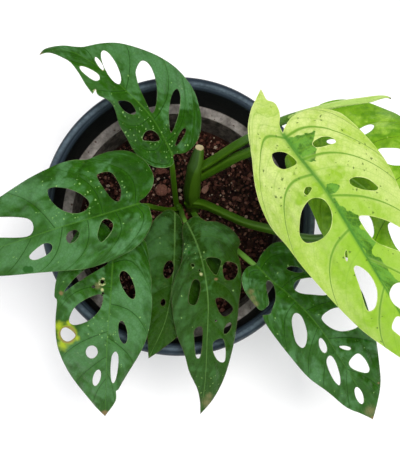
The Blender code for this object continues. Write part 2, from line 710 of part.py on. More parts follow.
def pot_profile():
    """The pot's section as (radius, height), from the middle of its underside out, up and back inside."""
    shoulder = RIM_RADIUS - RIM_WIDTH
    ledge = POT_HEIGHT - LEDGE_DROP
    channel_in, channel_out = CHANNEL_RADII
    outer_ledge = LEDGE_INNER_RADIUS + WALL
    return [
        (0.0, 0.0),
        (channel_in - 0.001, 0.0),
        (channel_in + 0.001, CHANNEL_HEIGHT),
        (channel_out - 0.001, CHANNEL_HEIGHT),
        (channel_out + 0.001, 0.0),
        (BASE_RADIUS - 0.0015, 0.0),
        (BASE_RADIUS, 0.0015),
        (outer_ledge, ledge - WALL - 0.002),
        (shoulder - 0.0045, ledge - WALL),
        (shoulder + 0.0005, POT_HEIGHT - LIP_DROP + 0.001),
        (RIM_RADIUS - 0.0018, POT_HEIGHT - LIP_DROP + 0.001),
        (RIM_RADIUS - 0.0008, POT_HEIGHT - LIP_DROP),
        (RIM_RADIUS, POT_HEIGHT - 0.0020),
        (RIM_RADIUS - 0.0015, POT_HEIGHT),
        (shoulder + 0.0010, POT_HEIGHT),
        (shoulder - 0.0006, POT_HEIGHT - 0.0015),
        (shoulder - 0.0040, ledge),
        (LEDGE_INNER_RADIUS, ledge),
        (BASE_RADIUS - WALL, CHANNEL_HEIGHT + BASE_THICKNESS),
        (0.0, CHANNEL_HEIGHT + BASE_THICKNESS),
    ]


def spin_profile(name, profile, finish):
    """A closed turned solid; the profile starts and ends on the axis."""
    points, faces = [], []
    inner = profile[1:-1]
    for turn_index in range(POT_SIDES):
        turn = 2 * math.pi * turn_index / POT_SIDES
        points += [ring_point(r, z, turn) for r, z in inner]
    size = len(inner)
    low, high = len(points), len(points) + 1
    points += [Vector((0.0, 0.0, profile[0][1])), Vector((0.0, 0.0, profile[-1][1]))]
    for k in range(POT_SIDES):
        here, there = k * size, (k + 1) % POT_SIDES * size
        faces.append((low, there, here))
        faces.append((high, here + size - 1, there + size - 1))
        for i in range(size - 1):
            faces.append((here + i, there + i, there + i + 1, here + i + 1))
    return add_object(name, points, faces, finish, 30)


def build_pot():
    """The nursery pot, with drainage holes through the raised channel of its base."""
    pot = spin_profile("nursery_pot", pot_profile(), material("nursery_pot", POT_GREY, 0.45))
    middle = sum(CHANNEL_RADII) / 2
    for k in range(DRAIN_HOLES):
        turn = 2 * math.pi * (k + 0.5) / DRAIN_HOLES
        where = ring_point(middle, CHANNEL_HEIGHT + BASE_THICKNESS / 2, turn)
        bpy.ops.mesh.primitive_cylinder_add(vertices=10, radius=DRAIN_RADIUS, depth=0.008, location=where)
        cut(pot, bpy.context.object)
    return pot


def wall_radius(height):
    """The inside radius of the pot's lower wall."""
    low = CHANNEL_HEIGHT + BASE_THICKNESS
    share = (height - low) / (POT_HEIGHT - LEDGE_DROP - low)
    return BASE_RADIUS - WALL + (LEDGE_INNER_RADIUS - BASE_RADIUS + WALL) * share


def build_soil(stem_lines):
    """The potting mix: it fills the pot, its top is grainy, and the stems stand in plain holes in it."""
    draw = random.Random(SOIL_SEED)
    floor = CHANNEL_HEIGHT + BASE_THICKNESS + CLEARANCE
    top_radius = wall_radius(SOIL_LEVEL) - CLEARANCE
    points, faces = [], []
    for ring in range(1, SOIL_RINGS + 1):
        radius = top_radius * ring / SOIL_RINGS
        for k in range(POT_SIDES):
            turn = 2 * math.pi * k / POT_SIDES
            height = SOIL_LEVEL + SOIL_CROWN * (1 - (radius / top_radius) ** 2)
            if ring < SOIL_RINGS:
                height += draw.uniform(-GRAIN_RELIEF, GRAIN_RELIEF)
            points.append(ring_point(radius, height, turn))
    for k in range(POT_SIDES):
        points.append(ring_point(wall_radius(floor) - CLEARANCE, floor, 2 * math.pi * k / POT_SIDES))
    crown, base = len(points), len(points) + 1
    points += [Vector((0.0, 0.0, SOIL_LEVEL + SOIL_CROWN)), Vector((0.0, 0.0, floor))]
    for k in range(POT_SIDES):
        there = (k + 1) % POT_SIDES
        faces.append((crown, k, there))
        faces.append((base, SOIL_RINGS * POT_SIDES + there, SOIL_RINGS * POT_SIDES + k))
        for ring in range(SOIL_RINGS):
            a, b = ring * POT_SIDES + k, ring * POT_SIDES + there
            faces.append((a, a + POT_SIDES, b + POT_SIDES, b))
    soil = add_object("potting_mix", points, faces, material("potting_mix", SOIL_BROWN, 0.95), 20)
    for line, widths in stem_lines.values():
        cut(soil, clear_tube(line, widths, soil.data.materials[0]))
    return soil


def main():
    """Builds every piece of the plant and its pot."""
    clear_scene()
    blades = {leaf.name: Blade(leaf) for leaf in LEAVES}
    stem_lines = {stem.name: stalk_centres(stem, blades) for stem in STEMS}
    build_pot()
    build_soil(stem_lines)
    for stem in STEMS:
        tube(stem.name, *stem_lines[stem.name], material(stem.name, stem.color, 0.5), STEM_SIDES)
    for stalk in STALKS:
        build_stalk(stalk, blades, stem_lines)
    for blade in blades.values():
        blade.build(material(blade.leaf.name, blade.leaf.color, 0.38))


main()
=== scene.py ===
"""A potted Monstera adansonii: its leaves, stalks, stems, potting mix and pot, dressed in detail.

Units are metres and +Z is up; a length whose name ends in _MM, and a leaf's height, is in millimetres.

Leaves and stalks are drawn on one sheet, seen from SHEET.eye, with x to the right and y down. A point of
the drawing and its height above the floor make a point in space: it lies where the line of sight through
the sheet reaches that height.
"""
import logging
import math
from collections.abc import Callable
from dataclasses import dataclass, field, replace
from enum import Enum

import bmesh
import bpy
import numpy as np
from mathutils import Matrix, Vector
from mathutils.geometry import delaunay_2d_cdt


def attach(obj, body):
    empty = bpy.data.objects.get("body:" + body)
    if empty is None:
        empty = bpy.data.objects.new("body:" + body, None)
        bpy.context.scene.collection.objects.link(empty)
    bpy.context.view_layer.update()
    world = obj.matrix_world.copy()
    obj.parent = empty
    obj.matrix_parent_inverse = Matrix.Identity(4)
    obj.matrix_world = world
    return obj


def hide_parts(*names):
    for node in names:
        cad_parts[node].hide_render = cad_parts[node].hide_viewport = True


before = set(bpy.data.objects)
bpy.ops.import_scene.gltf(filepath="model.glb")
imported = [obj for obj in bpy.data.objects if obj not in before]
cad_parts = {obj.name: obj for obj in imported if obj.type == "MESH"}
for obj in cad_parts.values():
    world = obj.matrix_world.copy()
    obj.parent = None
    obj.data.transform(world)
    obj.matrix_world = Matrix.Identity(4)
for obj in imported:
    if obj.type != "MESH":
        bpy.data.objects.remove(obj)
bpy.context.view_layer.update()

LOG = logging.getLogger("monstera")
BODY = "root"
MM = 0.001
UP = Vector((0.0, 0.0, 1.0))
NOWHERE = (0.0, 0.0, 0.0)

Rows = np.ndarray
Tree = bpy.types.NodeTree
Node = bpy.types.Node
Socket = bpy.types.NodeSocket
Outputs = bpy.types.NodeOutputs
Material = bpy.types.Material
Mesh = bpy.types.Mesh
Thing = bpy.types.Object
Colour = tuple[float, float, float]
SheetPoint = tuple[float, float]
SheetKnot = tuple[float, float, float]
SheetDisc = tuple[float, float, float]


def seen(red: float, green: float, blue: float) -> Colour:
    """Turns a colour as a screen shows it, 0 to 255, into the linear colour that a shader takes."""
    shares = (red / 255, green / 255, blue / 255)
    return tuple(c / 12.92 if c <= 0.04045 else ((c + 0.055) / 1.055) ** 2.4 for c in shares)


def smooth_line(at: Rows, knots: Rows, values: Rows) -> Rows:
    """Reads a smooth curve through the values at the knots, carried on straight beyond both ends.

    Args:
        at: the places to read.
        knots: rising places where the value is known.
        values: the value at each knot.

    Returns:
        The curve's value at each place.
    """
    slopes = np.gradient(values)
    slopes[1:-1] = (values[2:] - values[:-2]) / (knots[2:] - knots[:-2])
    slopes[0] = (values[1] - values[0]) / (knots[1] - knots[0])
    slopes[-1] = (values[-1] - values[-2]) / (knots[-1] - knots[-2])
    i = np.clip(np.searchsorted(knots, at) - 1, 0, len(knots) - 2)
    span = knots[i + 1] - knots[i]
    u = (at - knots[i]) / span
    inner = (
        values[i] * (1 + 2 * u) * (1 - u) ** 2
        + values[i + 1] * u * u * (3 - 2 * u)
        + span * slopes[i] * u * (1 - u) ** 2
        + span * slopes[i + 1] * u * u * (u - 1)
    )
    before = values[0] + slopes[0] * (at - knots[0])
    after = values[-1] + slopes[-1] * (at - knots[-1])
    return np.where(at <= knots[0], before, np.where(at >= knots[-1], after, inner))


def smooth_points(points: list, per_span: int, closed: bool) -> Rows:
    """Gives points along a smooth curve through the given ones; a point given twice makes a corner.

    Args:
        points: the curve's own points.
        per_span: how many points to make from each point to the next.
        closed: whether the curve comes back to its first point.

    Returns:
        One row for each point made.
    """
    rows = np.array([tuple(p) for p in points], float)
    count = len(rows)
    made = []
    for i in range(count if closed else count - 1):
        if closed:
            a, b, c, d = (rows[(i + k) % count] for k in (-1, 0, 1, 2))
        else:
            a, b = rows[max(i - 1, 0)], rows[i]
            c, d = rows[i + 1], rows[min(i + 2, count - 1)]
        if np.linalg.norm(c - b) < 1e-9:
            continue
        for u in np.arange(per_span) / per_span:
            bow = 2 * a - 5 * b + 4 * c - d
            made.append(0.5 * (2 * b + (c - a) * u + bow * u * u + (3 * b - a - 3 * c + d) * u**3))
    if not closed:
        made.append(rows[-1])
    return np.array(made)


def hump(value: Rows, width: float) -> Rows:
    """Gives a smooth hump: 1 where the value is 0, fading on both sides over its width."""
    return np.exp(-((value / width) ** 2))


def from_whole(count: Rows) -> Rows:
    """Measures how far counts are from whole numbers."""
    return np.abs(count - np.round(count))


def held(value: Rows) -> Rows:
    """Holds values between 0 and 1."""
    return np.clip(value, 0.0, 1.0)


def spaced(points: Rows, step: float, closed: bool) -> Rows:
    """Shares new points evenly along a line of points.

    Args:
        points: the line's points.
        step: the distance wanted between new points.
        closed: whether the line comes back to its first point.

    Returns:
        The new points, the first kept.
    """
    line = np.vstack([points, points[:1]]) if closed else points
    run = np.concatenate([[0.0], np.cumsum(np.linalg.norm(np.diff(line, axis=0), axis=1))])
    count = max(int(round(run[-1] / step)), 6)
    places = np.linspace(0.0, run[-1], count + 1)
    made = np.stack([np.interp(places, run, line[:, k]) for k in range(line.shape[1])], axis=1)
    return made[:-1] if closed else made


def within(x: Rows, y: Rows, loop: Rows) -> Rows:
    """Tells which sheet points lie inside a closed loop.

    Args:
        x: the points' x.
        y: the points' y.
        loop: the loop's points.

    Returns:
        True for each point inside.
    """
    ax, ay = loop[:, 0], loop[:, 1]
    bx, by = np.roll(ax, -1), np.roll(ay, -1)
    rise = np.where(np.abs(by - ay) < 1e-12, 1e-12, by - ay)
    spans = (ay > y[:, None]) != (by > y[:, None])
    hits = spans & (x[:, None] < (bx - ax) * (y[:, None] - ay) / rise + ax)
    return hits.sum(axis=1) % 2 == 1


def nearest(x: Rows, y: Rows, line: Rows) -> Rows:
    """Measures how far sheet points are from the nearest of a line's points."""
    gaps = np.hypot(x[:, None] - line[None, :, 0], y[:, None] - line[None, :, 1])
    return gaps.min(axis=1)


@dataclass(frozen=True)
class Sheet:
    """The drawing sheet and the eye that looks through it; the camera stands at the same eye."""

    eye: Vector = field(default_factory=lambda: Vector((-0.016, -0.093, 0.790)))
    aim: Vector = field(default_factory=lambda: Vector((0.015, -0.011, 0.160)))
    middle: SheetPoint = (200.0, 228.5)
    distance: float = 890.0
    unit_mm: float = 0.71

    def axes(self) -> tuple[Vector, Vector, Vector]:
        """Gives the sheet's right, up and forward directions."""
        forward = (self.aim - self.eye).normalized()
        right = forward.cross(Vector((0.0, 1.0, 0.0))).normalized()
        return right, right.cross(forward), forward

    def to_space(self, x: Rows, y: Rows, height_mm: Rows) -> Rows:
        """Places drawing points in space.

        Args:
            x: sheet x of each point.
            y: sheet y of each point.
            height_mm: height of each point above the floor.

        Returns:
            One row of x, y and z for each point.
        """
        right, up, forward = (np.array(axis) for axis in self.axes())
        x, y, height_mm = np.broadcast_arrays(x, y, height_mm)
        sight = (
            (x - self.middle[0])[..., None] * right
            + (self.middle[1] - y)[..., None] * up
            + self.distance * forward
        )
        share = (height_mm * MM - self.eye.z) / sight[..., 2]
        return np.array(self.eye) + sight * share[..., None]


SHEET = Sheet()


class NodeBoard:
    """Adds nodes to one node tree and wires them."""

    def __init__(self, tree: Tree) -> None:
        """Keeps the tree that the nodes go into."""
        self.tree = tree

    def add(self, kind: str, inputs: dict | None = None, **settings: object) -> Node:
        """Adds a shader node.

        Args:
            kind: the node's Blender type after the word ShaderNode.
            inputs: what feeds its inputs, by their name or number.
            settings: its own settings by name.

        Returns:
            The new node.
        """
        node = self.tree.nodes.new(f"ShaderNode{kind}")
        for name, value in settings.items():
            setattr(node, name, value)
        for name, source in (inputs or {}).items():
            self.feed(node.inputs[name], source)
        return node

    def feed(self, socket: Socket, source: object) -> None:
        """Links an output into a socket, or sets the socket to a number or a colour."""
        if isinstance(source, Socket):
            self.tree.links.new(source, socket)
        elif isinstance(source, (tuple, list)) and socket.type == "RGBA":
            socket.default_value = (*source[:3], 1.0)
        else:
            socket.default_value = source

    def calc(
        self, operation: str, first: object, second: object = 0.0, clamp: bool = False
    ) -> Socket:
        """Joins two values by a Math node's operation, with the result held in 0 to 1 if asked."""
        return self.add("Math", {0: first, 1: second}, operation=operation, use_clamp=clamp).outputs[0]

    def times(self, first: object, *others: object) -> object:
        """Multiplies values."""
        for other in others:
            first = self.calc("MULTIPLY", first, other)
        return first

    def plus(self, first: object, second: object) -> Socket:
        """Adds two values."""
        return self.calc("ADD", first, second)

    def size_of(self, value: object) -> Socket:
        """Drops a value's sign."""
        return self.calc("ABSOLUTE", value)

    def swing(self, value: object, reach: float) -> Socket:
        """Turns a value from 0 to 1 into a swing to both sides of zero, with its whole width given."""
        return self.times(self.calc("SUBTRACT", value, 0.5), reach)

    def stretch(self, value: object, contrast: object) -> Socket:
        """Stretches a value about a half and holds it between 0 and 1."""
        return self.calc("ADD", self.swing(value, contrast), 0.5, clamp=True)

    def from_whole(self, value: object, gap: object) -> Socket:
        """Gives how far a value is from a whole number, in parts of a gap."""
        return self.times(self.size_of(self.calc("SUBTRACT", value, self.calc("ROUND", value))), gap)

    def fade(self, value: object, start: object, end: object, to: tuple = (0.0, 1.0)) -> Socket:
        """Turns a value into a smooth step from a start to an end, between the two results given."""
        given = {"Value": value, "From Min": start, "From Max": end, "To Min": to[0], "To Max": to[1]}
        return self.add("MapRange", given, interpolation_type="SMOOTHSTEP").outputs["Result"]

    def blend(self, share: object, first: object, second: object) -> Socket:
        """Mixes two colours by the share of the second one."""
        return self.add("Mix", {0: share, 6: first, 7: second}, data_type="RGBA").outputs[2]

    def span(self, value: object, rise: tuple, fall: tuple) -> Socket:
        """Gives 1 between a rise and a fall, each with its start and its end."""
        return self.times(self.fade(value, *rise), self.fade(value, *fall, (1.0, 0.0)))

    def lay(self, colour: object, *coats: tuple) -> Socket:
        """Lays shades over a colour.

        Args:
            colour: the colour below.
            coats: in order, each shade with the masks that it is laid by.

        Returns:
            The colour with every coat.
        """
        for shade, *masks in coats:
            colour = self.blend(self.times(*masks), colour, shade)
        return colour

    def value_of(self, attribute: str) -> Socket:
        """Reads a number kept on the mesh's points."""
        return self.add("Attribute", attribute_name=attribute).outputs["Fac"]

    def place(self) -> Socket:
        """Gives the point's place in metres."""
        return self.add("TexCoord").outputs["Object"]

    def vector(self, x: object, y: object, z: object) -> Socket:
        """Joins three values into a vector."""
        return self.add("CombineXYZ", {0: x, 1: y, 2: z}).outputs[0]

    def parts(self, source: object, kind: str = "SeparateXYZ") -> Outputs:
        """Splits a vector, or by SeparateColor a colour, into its three values."""
        return self.add(kind, {0: source}).outputs

    def noise(self, vector: object, scale: object, **values: float) -> Node:
        """Adds a noise texture."""
        return self.add("TexNoise", {"Vector": vector, "Scale": scale, **values})

    def bent(self, vector: object, scale: object, reach: object) -> Socket:
        """Shifts a vector by a noise of a scale, as far as a reach."""
        wander = self.noise(vector, scale).outputs["Color"]
        shift = self.add("VectorMath", {0: wander, "Scale": reach}, operation="SCALE")
        return self.add("VectorMath", {0: vector, 1: shift.outputs[0]}, operation="ADD").outputs[0]

    def use(self, group: Tree, **values: object) -> Outputs:
        """Places a node group with its inputs given by name, and gives its outputs."""
        return self.add("Group", values, node_tree=group).outputs


class Effects:
    """The shader node groups that several finishes share, each built once."""

    def __init__(self) -> None:
        """Builds every group."""
        self.mottle = self.build_mottle()
        self.net = self.build_net()
        self.specks = self.build_specks()
        self.side_veins = self.build_side_veins()
        self.edge_band = self.build_edge_band()
        self.streaks = self.build_streaks()

    def mottled(self, board: NodeBoard, vector: object, scale: float, contrast: float) -> Socket:
        """Places soft cloudy patches on a board."""
        return board.use(self.mottle, Vector=vector, Scale=scale, Contrast=contrast)["Value"]

    def specked(
        self, board: NodeBoard, vector: object, scale: float, size: float, share: object
    ) -> Socket:
        """Places small specks on a board."""
        return board.use(self.specks, Vector=vector, Scale=scale, Size=size, Share=share)["Mask"]

    def streaked(
        self, board: NodeBoard, vector: object, scale: float, length: float, contrast: float
    ) -> Socket:
        """Places long streaks on a board."""
        given = {"Vector": vector, "Scale": scale, "Length": length, "Contrast": contrast}
        return board.use(self.streaks, **given)["Value"]

    def open_group(self, name: str, outputs: list[str], **inputs: float | tuple) -> tuple:
        """Starts a group with named sockets.

        Args:
            name: the group's name.
            outputs: each output's name.
            inputs: each input's name and its first value; three numbers make a vector.

        Returns:
            The group, its board, its input node's sockets and its output node's.
        """
        group = bpy.data.node_groups.new(name, "ShaderNodeTree")
        for label, start in inputs.items():
            kind = "NodeSocketVector" if isinstance(start, tuple) else "NodeSocketFloat"
            group.interface.new_socket(name=label, in_out="INPUT", socket_type=kind).default_value = start
        for label in outputs:
            group.interface.new_socket(name=label, in_out="OUTPUT", socket_type="NodeSocketFloat")
        given, made = (group.nodes.new(f"NodeGroup{end}") for end in ("Input", "Output"))
        return group, NodeBoard(group), given.outputs, made.inputs

    def build_mottle(self) -> Tree:
        """Builds soft cloudy patches.

        Returns:
            The group; its Value goes from 0 to 1.
        """
        group, board, given, made = self.open_group(
            "soft_mottle", ["Value"], Vector=NOWHERE, Scale=60.0, Contrast=1.0
        )
        noise = board.noise(given["Vector"], given["Scale"], Detail=5.0, Roughness=0.6)
        board.feed(made["Value"], board.stretch(noise.outputs["Fac"], given["Contrast"]))
        return group

    def build_net(self) -> Tree:
        """Builds the fine net of small veins, also used for cracks and grain.

        Returns:
            The group; Line is 1 on the net, Cell differs from mesh to mesh and Dome is high inside each.
        """
        group, board, given, made = self.open_group(
            "fine_net", ["Line", "Cell", "Dome"], Vector=NOWHERE, Scale=400.0, Width=0.12, Wander=0.0006
        )
        moved = board.bent(given["Vector"], board.times(given["Scale"], 0.5), given["Wander"])
        edges, cells = (
            board.add("TexVoronoi", {"Vector": moved, "Scale": given["Scale"]}, feature=feature).outputs
            for feature in ("DISTANCE_TO_EDGE", "F1")
        )
        board.feed(made["Line"], board.fade(edges["Distance"], 0.0, given["Width"], (1.0, 0.0)))
        board.feed(made["Cell"], board.parts(cells["Color"], "SeparateColor")[0])
        board.feed(made["Dome"], board.fade(edges["Distance"], 0.0, 0.4))
        return group

    def build_specks(self) -> Tree:
        """Builds scattered small specks.

        Returns:
            The group; its Mask is 1 on a speck.
        """
        group, board, given, made = self.open_group(
            "small_specks", ["Mask"], Vector=NOWHERE, Scale=300.0, Size=0.3, Share=0.1
        )
        scale = given["Scale"]
        moved = board.bent(given["Vector"], board.times(scale, 2.2), board.calc("DIVIDE", 0.8, scale))
        dots = board.add("TexVoronoi", {"Vector": moved, "Scale": scale}, feature="F1").outputs
        chance, growth, _ = board.parts(dots["Color"], "SeparateColor")
        size = board.times(given["Size"], board.plus(growth, 0.4))
        dot = board.fade(dots["Distance"], board.times(size, 0.5), size, (1.0, 0.0))
        board.feed(made["Mask"], board.times(dot, board.calc("LESS_THAN", chance, given["Share"])))
        return group

    def build_side_veins(self) -> Tree:
        """Builds the lines of the side veins and of the smaller ones between them.

        Returns:
            The group; Line, Minor and Near are 1 on a side vein, on a smaller one and beside one.
        """
        group, board, given, made = self.open_group(
            "side_veins", ["Line", "Minor", "Near"], Phase=0.0, Gap=14.0, Across=0.0, Width=0.6, Along=0.5
        )
        phase, gap = given["Phase"], given["Gap"]
        distance = board.from_whole(phase, gap)
        taper = board.fade(board.size_of(given["Across"]), 4.0, 45.0, (1.0, 0.45))
        width = board.times(given["Width"], taper)
        line = board.fade(distance, board.times(width, 0.25), width, (1.0, 0.0))
        board.feed(made["Line"], board.times(line, board.fade(given["Along"], -0.12, -0.07)))
        thirds = board.from_whole(board.times(phase, 3.0), board.calc("DIVIDE", gap, 3.0))
        board.feed(made["Minor"], board.fade(thirds, 0.0, board.times(width, 0.6), (1.0, 0.0)))
        board.feed(made["Near"], board.fade(distance, 0.0, 3.0, (1.0, 0.0)))
        return group

    def build_edge_band(self) -> Tree:
        """Builds an uneven band along an edge.

        Returns:
            The group; its Mask is 1 at the edge.
        """
        group, board, given, made = self.open_group(
            "edge_band", ["Mask"], Vector=NOWHERE, Distance=5.0, Width=0.6
        )
        noise = board.noise(given["Vector"], 220.0).outputs["Fac"]
        width = board.times(given["Width"], board.fade(noise, 0.3, 0.7, (0.4, 1.6)))
        board.feed(made["Mask"], board.fade(given["Distance"], board.times(width, 0.4), width, (1.0, 0.0)))
        return group

    def build_streaks(self) -> Tree:
        """Builds streaks that run along the vector's third axis.

        Returns:
            The group; its Value goes from 0 to 1.
        """
        group, board, given, made = self.open_group(
            "long_streaks", ["Value"], Vector=NOWHERE, Scale=8.0, Length=0.08, Contrast=1.5
        )
        x, y, z = board.parts(given["Vector"])
        drawn = board.vector(x, y, board.times(z, given["Length"]))
        noise = board.noise(drawn, given["Scale"], Detail=4.0)
        board.feed(made["Value"], board.stretch(noise.outputs["Fac"], given["Contrast"]))
        return group


def open_material(name: str, roughness: float, coat: float = 0.0, specular: float = 0.5) -> tuple:
    """Starts a material.

    Args:
        name: its name.
        roughness: the roughness where nothing else feeds it.
        coat: the weight of a clear coat.
        specular: how strongly it mirrors, 0.5 as plain plastic does.

    Returns:
        The material, its board and its Principled BSDF.
    """
    material = bpy.data.materials.new(name)
    material.use_nodes = True
    shader = material.node_tree.nodes["Principled BSDF"]
    gloss = {"Roughness": roughness, "Coat Weight": coat, "Coat Roughness": 0.3}
    for label, value in {**gloss, "Specular IOR Level": specular}.items():
        shader.inputs[label].default_value = value
    return material, NodeBoard(material.node_tree), shader


def add_bump(board: NodeBoard, shader: Node, height: object, depth: float) -> None:
    """Gives a shader small relief, from a height of 0 to 1 and its depth in metres."""
    bump = board.add("Bump", {"Strength": 1.0, "Distance": depth, "Height": height})
    board.feed(shader.inputs["Normal"], bump.outputs["Normal"])


class LeafKind(Enum):
    """The finishes that a leaf can have."""

    GREEN = "green"
    SHADED = "shaded"
    LIME = "lime"
    BRIGHT = "bright"


@dataclass(frozen=True)
class LeafFinish:
    """The colours and the gloss of one kind of leaf; what isn't given is as on the common green."""

    kind: LeafKind
    slot: str = "leaf_green"
    deep: Colour = seen(20, 54, 2)
    light: Colour = seen(48, 102, 12)
    # painted sheen: a paler, bluer green laid where the leaf should show a reflection
    bloom: Colour = seen(84, 130, 84)
    # painted shade: a deeper green laid where the leaf should get no reflection or lie in shadow
    rich: Colour = seen(24, 62, 0)
    fine_share: float = 0.45
    relief_shading_share: float = 0.5
    vein: Colour = seen(18, 58, 4)
    vein_share: float = 0.42
    vein_mm: float = 0.5
    minor_share: float = 0.18
    beside_share: float = 0.3
    net_share: float = 0.2
    thread: Colour = seen(12, 42, 2)
    thread_share: float = 0.35
    midrib: Colour = seen(76, 126, 34)
    midrib_share: float = 0.5
    midrib_mm: float = 1.0
    band_share: float = 0.0
    # a deeper green beside the midrib on the outer half of the blade, partly painted shade; also the fine
    # net on patches
    core_tone_and_shade: Colour = seen(42, 90, 6)
    core_tone_and_shade_share: float = 0.3
    patch: Colour = seen(52, 100, 16)
    patch_alternate: Colour = seen(88, 142, 44)
    speck: Colour = seen(132, 174, 96)
    speck_share: float = 0.09
    speck_scale: float = 540.0
    speck_size: float = 0.3
    margin: Colour = seen(66, 72, 44)
    margin_pale: Colour = seen(116, 144, 88)
    margin_mm: float = 0.35
    under: Colour = seen(104, 142, 78)
    roughness: float = 0.27
    coat: float = 0.06
    specular: float = 0.27

    def build(self, effects: Effects) -> Material:
        """Builds the leaf's material.

        Args:
            effects: the shared node groups.

        Returns:
            The material.
        """
        material, board, shader = open_material(
            f"leaf_{self.kind.value}", self.roughness, self.coat, self.specular
        )
        place, under = board.place(), board.value_of("under")
        along, across = board.value_of("along"), board.value_of("across")
        drawn = board.vector(board.times(board.value_of("vein"), 0.011), board.times(across, 0.00038), 0.0)
        cloud = effects.mottled(board, drawn, 85.0, 2.6)
        fine = effects.mottled(board, drawn, 300.0, 2.8)
        net = board.use(effects.net, Vector=place, Scale=420.0, Width=0.16)
        veins = board.use(
            effects.side_veins, Phase=board.value_of("vein"), Gap=board.value_of("vein_gap"), Across=across,
            Width=self.vein_mm, Along=along,
        )
        beside_midrib = board.fade(board.size_of(across), 2.0, 52.0, (1.0, 0.0))
        patch = board.blend(board.fade(fine, 0.25, 0.75), self.patch, self.patch_alternate)
        edge = board.value_of("edge")
        rim = board.use(effects.edge_band, Vector=place, Distance=edge, Width=self.margin_mm)["Mask"]
        colour = board.lay(
            self.ground(board, effects, place, cloud, fine),
            (self.light, net["Cell"], 0.28),
            (self.vein, net["Line"], self.net_share),
            # deeper green beside the midrib on the outer half, partly painted shade
            (self.core_tone_and_shade, beside_midrib, board.fade(along, 0.05, 0.5), self.core_tone_and_shade_share),
            (board.lay(patch, (self.core_tone_and_shade, net["Line"], 0.16)), self.patch_mask(board, effects, place)),
            (self.light, veins["Near"], self.beside_share),
            (self.vein, veins["Minor"], self.minor_share),
            (self.vein, veins["Line"], self.vein_share),
            (self.thread, board.calc("POWER", veins["Line"], 5.0), self.thread_share),
            *self.midrib_coats(board, along, across, cloud),
            (self.speck, self.speck_mask(board, effects, place), 0.8),
            (board.blend(board.fade(cloud, 0.35, 0.75), self.margin, self.margin_pale), rim, 0.6),
            *self.mark_coats(board, effects, place),
            (self.under, under, 0.85),
        )
        board.feed(shader.inputs["Base Color"], colour)
        rough = board.fade(cloud, 0.0, 1.0, (self.roughness + 0.07, self.roughness - 0.05))
        board.feed(shader.inputs["Roughness"], board.calc("MAXIMUM", rough, board.times(under, 0.6)))
        relief = board.calc("SUBTRACT", board.times(net["Dome"], 0.45), board.times(veins["Line"], 0.8))
        relief = board.calc("SUBTRACT", relief, board.times(veins["Minor"], 0.25))
        add_bump(board, shader, relief, 0.00022)
        return material

    def ground(
        self, board: NodeBoard, effects: Effects, place: object, cloud: object, fine: object
    ) -> Socket:
        """Gives the blade's colour between the veins, with painted sheen and painted shade by relief and in
        listed clouds.

        Args:
            board: the material's board.
            effects: the shared node groups.
            place: the point's place.
            cloud: the broader mottle along the veins.
            fine: the finer one.

        Returns:
            The colour.
        """
        stray = board.swing(cloud, 0.7)
        raised = board.plus(board.value_of("raised"), board.times(stray, 0.6))
        bloom, rich = (board.plus(board.value_of(tone), stray) for tone in ("bloom", "rich"))
        relief_shading, fleck = (0.0, self.relief_shading_share), (0.0, self.fine_share)
        return board.lay(
            board.blend(cloud, self.deep, self.light),
            (self.deep, effects.mottled(board, place, 24.0, 2.2), 0.45),
            # painted sheen on the ridges of the relief
            (self.bloom, board.fade(raised, 0.55, 1.15, relief_shading)),
            # painted shade in the hollows of the relief
            (self.rich, board.fade(raised, 0.45, -0.1, relief_shading)),
            # a fine random mottle in the painted shade and painted sheen colours
            (self.rich, board.fade(fine, 0.5, 1.0, fleck)),
            (self.bloom, board.fade(fine, 0.5, 0.0, fleck)),
            # painted sheen in the clouds listed on the blade
            (self.bloom, board.fade(bloom, 0.14, 0.92, (0.0, 0.8))),
            # painted shade in the clouds listed on the blade
            (self.rich, board.fade(rich, 0.14, 0.92, (0.0, 0.95))),
        )

    def patch_mask(self, board: NodeBoard, effects: Effects, place: object) -> Socket:
        """Gives where the leaf's darker patches are, with a ragged border."""
        ragged = board.swing(effects.mottled(board, place, 230.0, 2.2), 2.4)
        return board.fade(board.plus(board.value_of("patch"), ragged), -0.3, 0.4, (0.0, 0.96))

    def midrib_coats(self, board: NodeBoard, along: object, across: object, cloud: object) -> list[tuple]:
        """Gives the midrib and the band beside it.

        Args:
            board: the material's board.
            along: the share of the way along the leaf.
            across: millimetres to the right of the midrib.
            cloud: the mottle that makes it uneven.

        Returns:
            Each with its shade and its masks.
        """
        far, begun = board.size_of(across), board.fade(along, -0.03, 0.01)
        width = board.fade(along, 0.0, 1.0, (self.midrib_mm, self.midrib_mm * 0.3))
        band = board.fade(far, 0.3, board.times(width, 2.6), (self.band_share, 0.0))
        rib = board.fade(far, board.times(width, 0.4), width, (1.0, 0.0))
        uneven = board.fade(cloud, 0.1, 0.8, (self.midrib_share, self.midrib_share * 0.55))
        return [(self.midrib, band, begun), (self.midrib, rib, begun, uneven)]

    def speck_mask(self, board: NodeBoard, effects: Effects, place: object) -> Socket:
        """Gives the specks, thicker in loose clusters and where the leaf is given flecks."""
        clusters = board.fade(effects.mottled(board, place, 45.0, 2.5), 0.35, 0.8)
        flecks = board.times(board.value_of("flecks"), 0.6)
        often = board.plus(board.times(clusters, self.speck_share), flecks)
        return effects.specked(board, place, self.speck_scale, self.speck_size, often)

    def mark_coats(self, board: NodeBoard, effects: Effects, place: object) -> list[tuple]:
        """Gives the yellow halos and the withered, scorched, bleached and dark spots, ragged all round."""
        stray = board.swing(effects.mottled(board, place, 260.0, 1.8), 0.5)
        coats = []
        for mark in MARKS:
            strength = board.plus(board.value_of(mark.name), stray)
            coats.append((mark.colour, board.fade(strength, mark.start, mark.full, (0.0, mark.share))))
        return coats


@dataclass(frozen=True)
class MarkFinish:
    """How one kind of mark on a leaf is coloured: from which strength, to which, and how much."""

    name: str
    colour: Colour
    start: float
    full: float
    share: float


